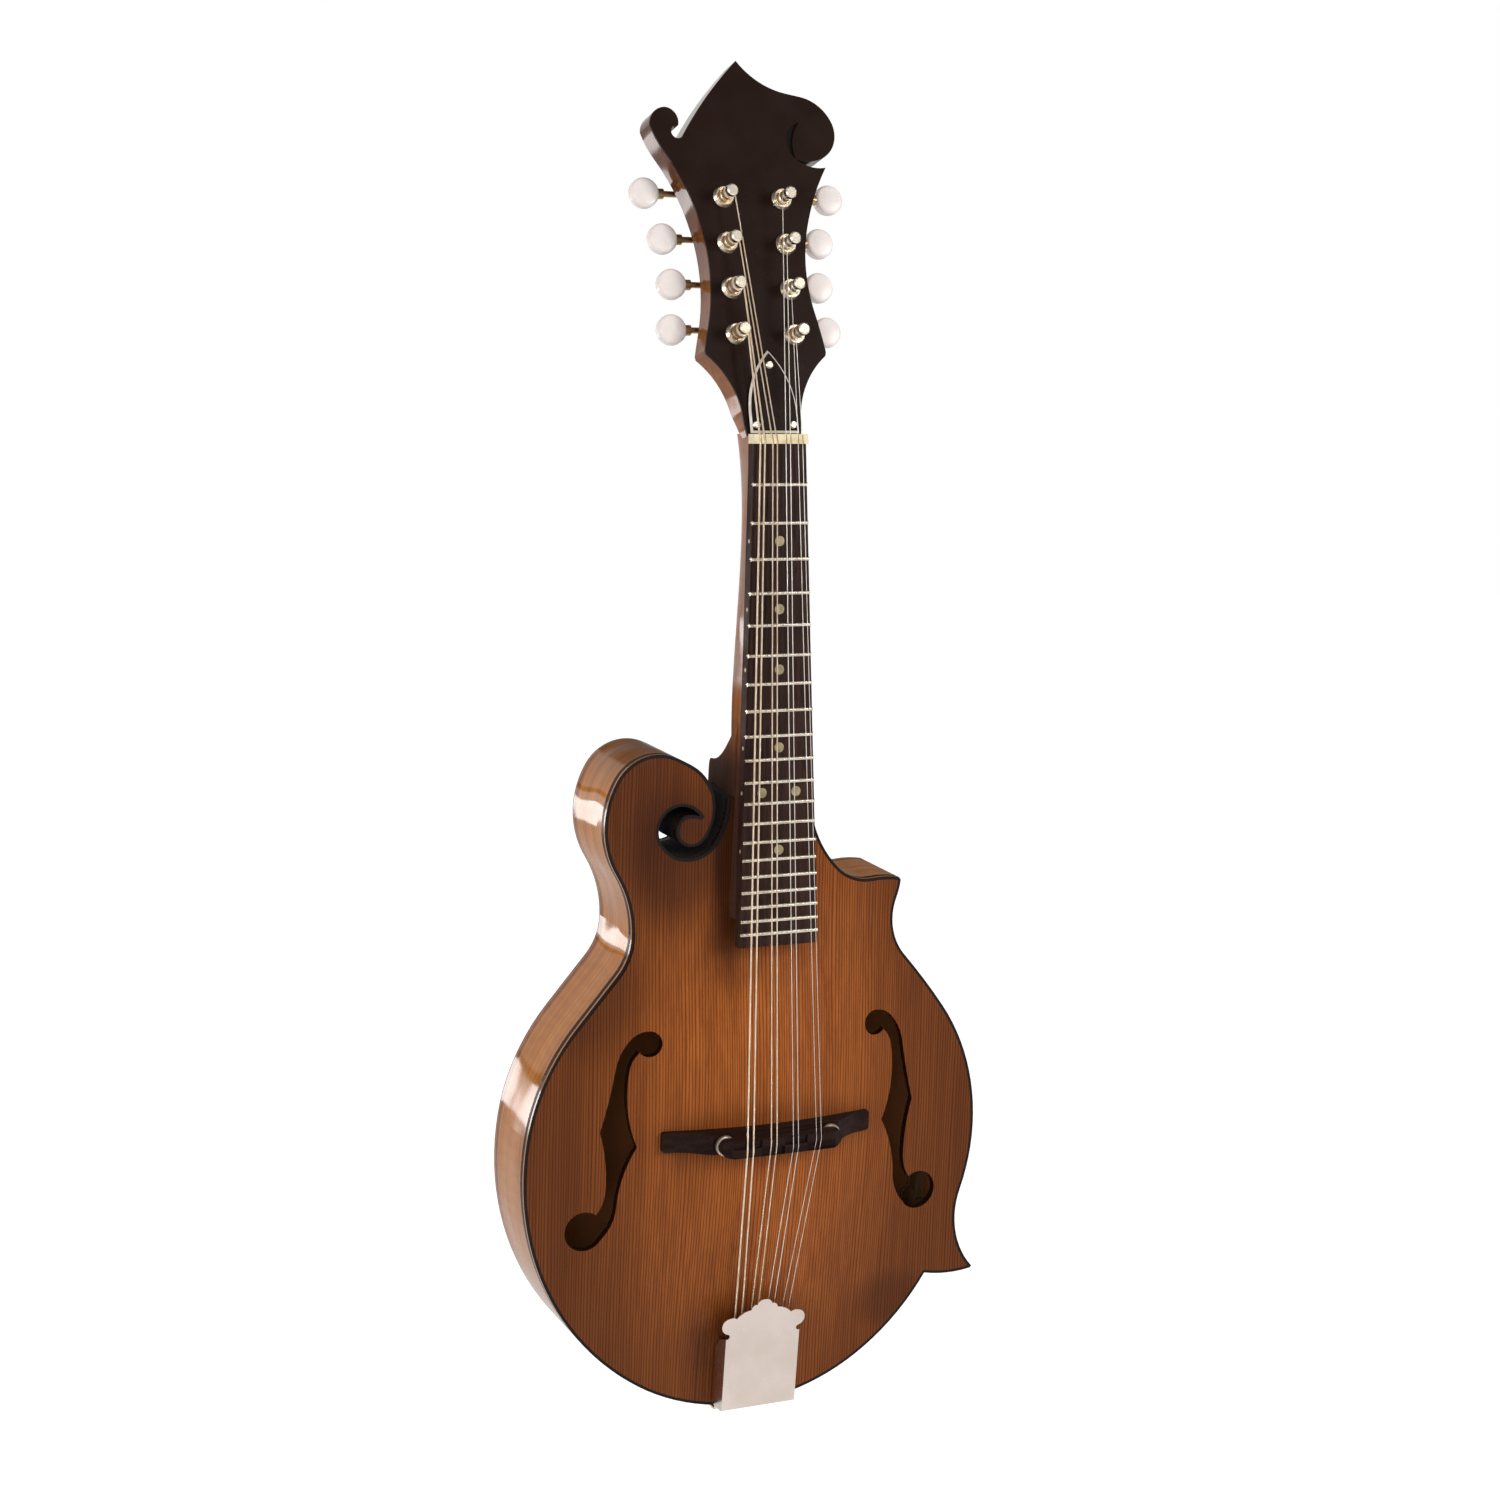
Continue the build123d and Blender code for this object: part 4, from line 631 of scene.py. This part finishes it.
def lathe(name, profile, centre, axis, steps=48):
    """A closed turned shape: profile of (radius, height) from pole to pole, round an axis."""
    mesh = bmesh.new()
    turn = axis.to_track_quat("Z", "Y")
    angles = [2 * math.pi * i / steps for i in range(steps)]
    rings = []
    for radius, height in profile:
        around = angles if radius else angles[:1]
        rings.append([
            mesh.verts.new(centre + turn @ Vector((radius * math.cos(a), radius * math.sin(a), height)))
            for a in around])
    for low, high in zip(rings, rings[1:]):
        for i in range(steps):
            j = (i + 1) % steps
            corners = [low[i % len(low)], low[j % len(low)], high[j % len(high)], high[i % len(high)]]
            mesh.faces.new(list(dict.fromkeys(corners)))
    bmesh.ops.recalc_face_normals(mesh, faces=mesh.faces)
    made = bpy.data.meshes.new(name)
    mesh.to_mesh(made)
    mesh.free()
    made.shade_smooth()
    made.set_sharp_from_angle(angle=math.radians(40))
    return made


def button_profile():
    """A button from its back to its front: faces a little domed, the edge well rounded."""
    flat = BUTTON_RADIUS - BUTTON_EDGE
    rise = BUTTON_HALF - BUTTON_DOME
    front = [(0, BUTTON_HALF)]
    for i in range(1, FACE_STEPS):
        part = i / FACE_STEPS
        front.append((flat * part, rise + BUTTON_DOME * (1 - part ** 2)))
    for i in range(EDGE_STEPS + 1):
        angle = math.radians(90 - i * 90 / EDGE_STEPS)
        out, up = BUTTON_EDGE * math.cos(angle), BUTTON_EDGE * math.sin(angle)
        front.append((flat + out, rise - BUTTON_EDGE + up))
    return [(r, -h) for r, h in front] + [(r, h) for r, h in reversed(front)]


def make_pearloid():
    material, tree, shader = new_finish(
        "pearl celluloid", Specular_IOR_Level=0.4, Subsurface_Weight=0.2, Subsurface_Scale=0.002)
    spot = object_place(tree)
    inputs = {"Vector": spot, "Scale": 240.0, "Randomness": 1.0}
    flakes = place(tree, "ShaderNodeTexVoronoi", inputs).outputs["Color"]
    grey = place(tree, "ShaderNodeSeparateColor", {0: flakes}).outputs[0]
    pale = blend(tree, noise(tree, spot, 150.0, 2.0), tone("#eee6e2"), tone("#e2d8d3"))
    color = blend(tree, calc(tree, "MULTIPLY", grey, 0.22), pale, tone("#dccfc6"))
    finish_with(tree, shader, color, gloss=0.22, spread=0.1, size=90.0)
    return material


def middle_of(node):
    low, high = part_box(node)
    return Vector([(a + b) / 2 for a, b in zip(low, high)])


THREAD_TREE = make_thread_tree()
PEARLOID = make_pearloid()
for name in ("g1", "g2", "d1", "d2", "a1", "a2", "e1", "e2"):
    on_bass_side = name[0] in "gd"
    dress("post_" + name, NICKEL)
    dress("worm_" + name, WORM_BRONZE)
    worm = middle_of("worm_" + name)
    worm.x = -THREAD_END if on_bass_side else THREAD_START
    thread = grown("worm_thread_" + name, THREAD_TREE, {
        "Centre": tuple(worm), "Lean": (-HEAD_TILT, 0.0, 0.0), "Turns": THREAD_LENGTH / THREAD_PITCH,
        "Length": THREAD_LENGTH, "Radius": THREAD_RADIUS, "Ridge": THREAD_RIDGE,
        "Material": WORM_BRONZE})
    add_piece("worm_thread_" + name, thread, "knob_" + name, "worm_brass")
    button = lathe("pearl_button_" + name, button_profile(), middle_of("button_" + name), HEAD_FRONT)
    button.materials.append(PEARLOID)
    add_piece("pearl_button_" + name, button, "knob_" + name, "pearloid", "button_" + name)


# ---------------------------------------------------------------- bridge
# An ebony foot is fitted to the arch of the top. Two threaded posts in it carry thumbwheels,
# and the ebony saddle rests on the wheels, its crest stepped to suit each pair of strings.

BASS_WHEEL, TREBLE_WHEEL = middle_of("bass_thumbwheel"), middle_of("treble_thumbwheel")
WHEELS_MIDDLE = (BASS_WHEEL + TREBLE_WHEEL) / 2
WHEELS_APART = (TREBLE_WHEEL.x - BASS_WHEEL.x) / 2
RIM_STARTS, RIM_ENDS = 0.0047, 0.0049
RIDGE_COUNT = 60.0


def make_ebony():
    material, tree, shader = new_finish("ebony", Specular_IOR_Level=0.05)
    parts = axes(tree, object_place(tree))
    lying = place(tree, "ShaderNodeCombineXYZ", {0: parts["Z"], 1: parts["Y"], 2: parts["X"]})
    grain = grained(tree, lying.outputs[0], "#2a1b17", "#160d0b")
    finish_with(tree, shader, grain["Color"], gloss=0.3, spread=0.15, size=60.0)
    return material


def make_knurling():
    """Nickel with the fine upright ridges that are rolled into the rim of a thumbwheel."""
    material, tree, shader = new_finish("knurled nickel", Metallic=1.0)
    color = clouded(tree, "#f6ecde", "#e2d4c0", 140.0)
    finish_with(tree, shader, color, gloss=0.34, spread=0.1, size=140.0)
    parts = axes(tree, object_place(tree))
    from_middle = calc(tree, "ABSOLUTE", calc(tree, "SUBTRACT", parts["X"], WHEELS_MIDDLE.x))
    across = calc(tree, "SUBTRACT", from_middle, WHEELS_APART)
    up = calc(tree, "SUBTRACT", parts["Z"], WHEELS_MIDDLE.z)
    angle = calc(tree, "ARCTAN2", across, up)
    ridges = calc(tree, "SINE", calc(tree, "MULTIPLY", angle, RIDGE_COUNT))
    rim = ramp(tree, distance(tree, across, up), RIM_STARTS, RIM_ENDS)
    raise_surface(tree, shader, calc(tree, "MULTIPLY", ridges, rim), 0.0003)
    return material


EBONY = make_ebony()
KNURLED = make_knurling()
dress("bridge_base", EBONY)
dress("bridge_saddle", EBONY)
dress("bridge_posts", NICKEL)
dress("bass_thumbwheel", KNURLED)
dress("treble_thumbwheel", KNURLED)


# ---------------------------------------------------------------- tailpiece
# A nickel-plated base is screwed to the tail and carries eight hooks. A pressed cover fits over
# the hooks; its front edge is cut in lobes and its face is satin. An end pin holds the strap.

dress("tailpiece_base", NICKEL)
dress("tailpiece_cover", make_metal("satin nickel", "#dfd1c8", "#d5c6bb", 0.24, size=28.0))
dress("end_pin", NICKEL)
dress("small_screws", NICKEL)


# ---------------------------------------------------------------- strings
# Four pairs of steel strings, the lower two pairs wound with bronze. Each is looped on its hook,
# crosses the saddle and the nut and winds down round the waist of its post.

WINDING_PITCH = 0.00028


def make_winding():
    material, tree, shader = new_finish("bronze winding", Metallic=1.0)
    color = clouded(tree, "#f0dcc4", "#dcc4a6", 90.0)
    finish_with(tree, shader, color, gloss=0.32, spread=0.1, size=90.0)
    height = axes(tree, object_place(tree))["Z"]
    turns = calc(tree, "SINE", calc(tree, "MULTIPLY", height, 2 * math.pi / WINDING_PITCH))
    raise_surface(tree, shader, turns, 0.00004, 0.8)
    return material


dress("wound_strings", make_winding())
dress("plain_strings", make_metal("plain string steel", "#eae4da", "#d6cec2", 0.34))


# ---------------------------------------------------------------- the room
# A pale floor far below the hanging instrument, pale walls, soft lamps and the camera.

FLOOR_HALF, FLOOR_HEIGHT = 8.0, -1.35
FLOOR_SEEN, FLOOR_IN_GLOSS = 0.62, 0.15     # how much the floor glows of itself
SOFT_LIGHT, FRONT_IN_GLOSS = 0.55, 0.42     # how bright the room is all round, and in front
# the wall of panels behind, by the angle round the way to it, in degrees from straight up over
# the bass side: where two panels part, and the width of the gap between them
PANEL_GAPS = ((84.0, 4.0), (128.0, 5.0), (146.0, 5.0), (176.0, 18.0))


def glossy(tree, rays):
    return calc(tree, "MAXIMUM", rays["Is Glossy Ray"], rays["Is Transmission Ray"])


def make_floor():
    mesh = bpy.data.meshes.new("floor")
    corners = [(x * FLOOR_HALF, y * FLOOR_HALF, FLOOR_HEIGHT)
               for x, y in ((-1, -1), (1, -1), (1, 1), (-1, 1))]
    mesh.from_pydata(corners, [], [(0, 1, 2, 3)])
    material, tree, shader = new_finish("pale floor", Roughness=0.9)
    shader.inputs["Base Color"].default_value = (0.85, 0.85, 0.85, 1)
    rays = place(tree, "ShaderNodeLightPath").outputs
    mirrored = calc(tree, "MULTIPLY", glossy(tree, rays), FLOOR_IN_GLOSS)
    seen = calc(tree, "MULTIPLY_ADD", rays["Is Camera Ray"], FLOOR_SEEN, mirrored)
    white = place(tree, "ShaderNodeEmission", {"Color": (1, 1, 1, 1), "Strength": seen})
    both = place(tree, "ShaderNodeAddShader", {0: shader.outputs[0], 1: white.outputs[0]})
    tree.links.new(both.outputs[0], tree.nodes["Material Output"].inputs["Surface"])
    mesh.materials.append(material)
    floor = bpy.data.objects.new("floor", mesh)
    bpy.context.scene.collection.objects.link(floor)


def between(tree, factor, low, high):
    """Goes evenly from low to high while the factor goes from 0 to 1."""
    inputs = {"Value": factor, "To Min": low, "To Max": high}
    return place(tree, "ShaderNodeMapRange", inputs).outputs[0]


def panelled_wall(tree, toward):
    """The wall behind as gloss shows it: bright panels with dark gaps, and a dim low one."""
    angle = calc(tree, "ARCTAN2", calc(tree, "MULTIPLY", toward["X"], -1.0), toward["Z"])
    angle = calc(tree, "DEGREES", angle)
    wall = ramp(tree, angle, 14.0, 24.0, 0.12, 0.68)
    wall = calc(tree, "ADD", wall, ramp(tree, angle, 86.0, 90.0, 0.0, 0.5))
    for joint, width in PANEL_GAPS:
        off = calc(tree, "ABSOLUTE", calc(tree, "SUBTRACT", angle, joint))
        wall = calc(tree, "MULTIPLY", wall, ramp(tree, off, width / 2, width, 0.1, 1.0))
    wall = calc(tree, "MAXIMUM", wall, ramp(tree, angle, -65.0, -125.0, 0.0, 0.4))
    # and a bright panel straight behind, which only the slanted edges of the head can catch
    return calc(tree, "MAXIMUM", wall, ramp(tree, toward["Y"], 0.925, 0.945, 0.0, 0.9))


def make_world():
    """White where it is seen and even for soft light; gloss shows a dim front and the wall."""
    world = bpy.data.worlds.new("pale room")
    bpy.context.scene.world = world
    world.use_nodes = True
    tree = world.node_tree
    rays = place(tree, "ShaderNodeLightPath").outputs
    toward = axes(tree, place(tree, "ShaderNodeTexCoord").outputs["Generated"])
    backward = ramp(tree, toward["Y"], -0.3, 0.1)
    mirrored = between(tree, backward, FRONT_IN_GLOSS, panelled_wall(tree, toward))
    indirect = between(tree, glossy(tree, rays), SOFT_LIGHT, mirrored)
    strength = calc(tree, "MAXIMUM", indirect, rays["Is Camera Ray"])
    back = tree.nodes["Background"]
    back.inputs["Color"].default_value = (1, 1, 1, 1)
    tree.links.new(strength, back.inputs["Strength"])


def add_lamp(name, place_at, aim, width, height, power):
    lamp = bpy.data.lights.new(name, "AREA")
    lamp.shape, lamp.size, lamp.size_y = "RECTANGLE", width, height
    lamp.energy = power
    made = bpy.data.objects.new(name, lamp)
    bpy.context.scene.collection.objects.link(made)
    made.location = place_at
    made.rotation_euler = (Vector(aim) - Vector(place_at)).to_track_quat("-Z", "Y").to_euler()
    made.visible_camera = False


make_floor()
make_world()
add_lamp("key", (1.3, -1.5, 0.5), (0, 0, -0.25), 0.5, 0.9, 26.0)
add_lamp("fill", (-1.4, -1.6, 0.3), (0, 0, -0.2), 1.2, 1.4, 12.0)
add_lamp("left window", (-2.2, 0.25, -0.1), (0, 0, -0.25), 0.8, 0.8, 14.0)
add_lamp("side strip", (-0.73, 1.37, -0.43), (-0.12, 0, -0.3), 0.26, 0.3, 1.2)

camera = bpy.data.cameras.new("camera")
camera.lens, camera.sensor_width, camera.sensor_height = 64.372, 36.0, 36.0
camera.clip_start, camera.clip_end = 0.05, 30.0
viewer = bpy.data.objects.new("camera", camera)
bpy.context.scene.collection.objects.link(viewer)
turn = Matrix((
    (0.91120392, 0.04613682, -0.4093639),
    (-0.4104265, 0.18720965, -0.89246996),
    (0.03546115, 0.98123593, 0.18952194),
))
viewer.matrix_world = Matrix.Translation((-0.55395, -1.1855, 0.1005)) @ turn.to_4x4()
bpy.context.scene.camera = viewer
bpy.context.scene.view_settings.view_transform = "Standard"
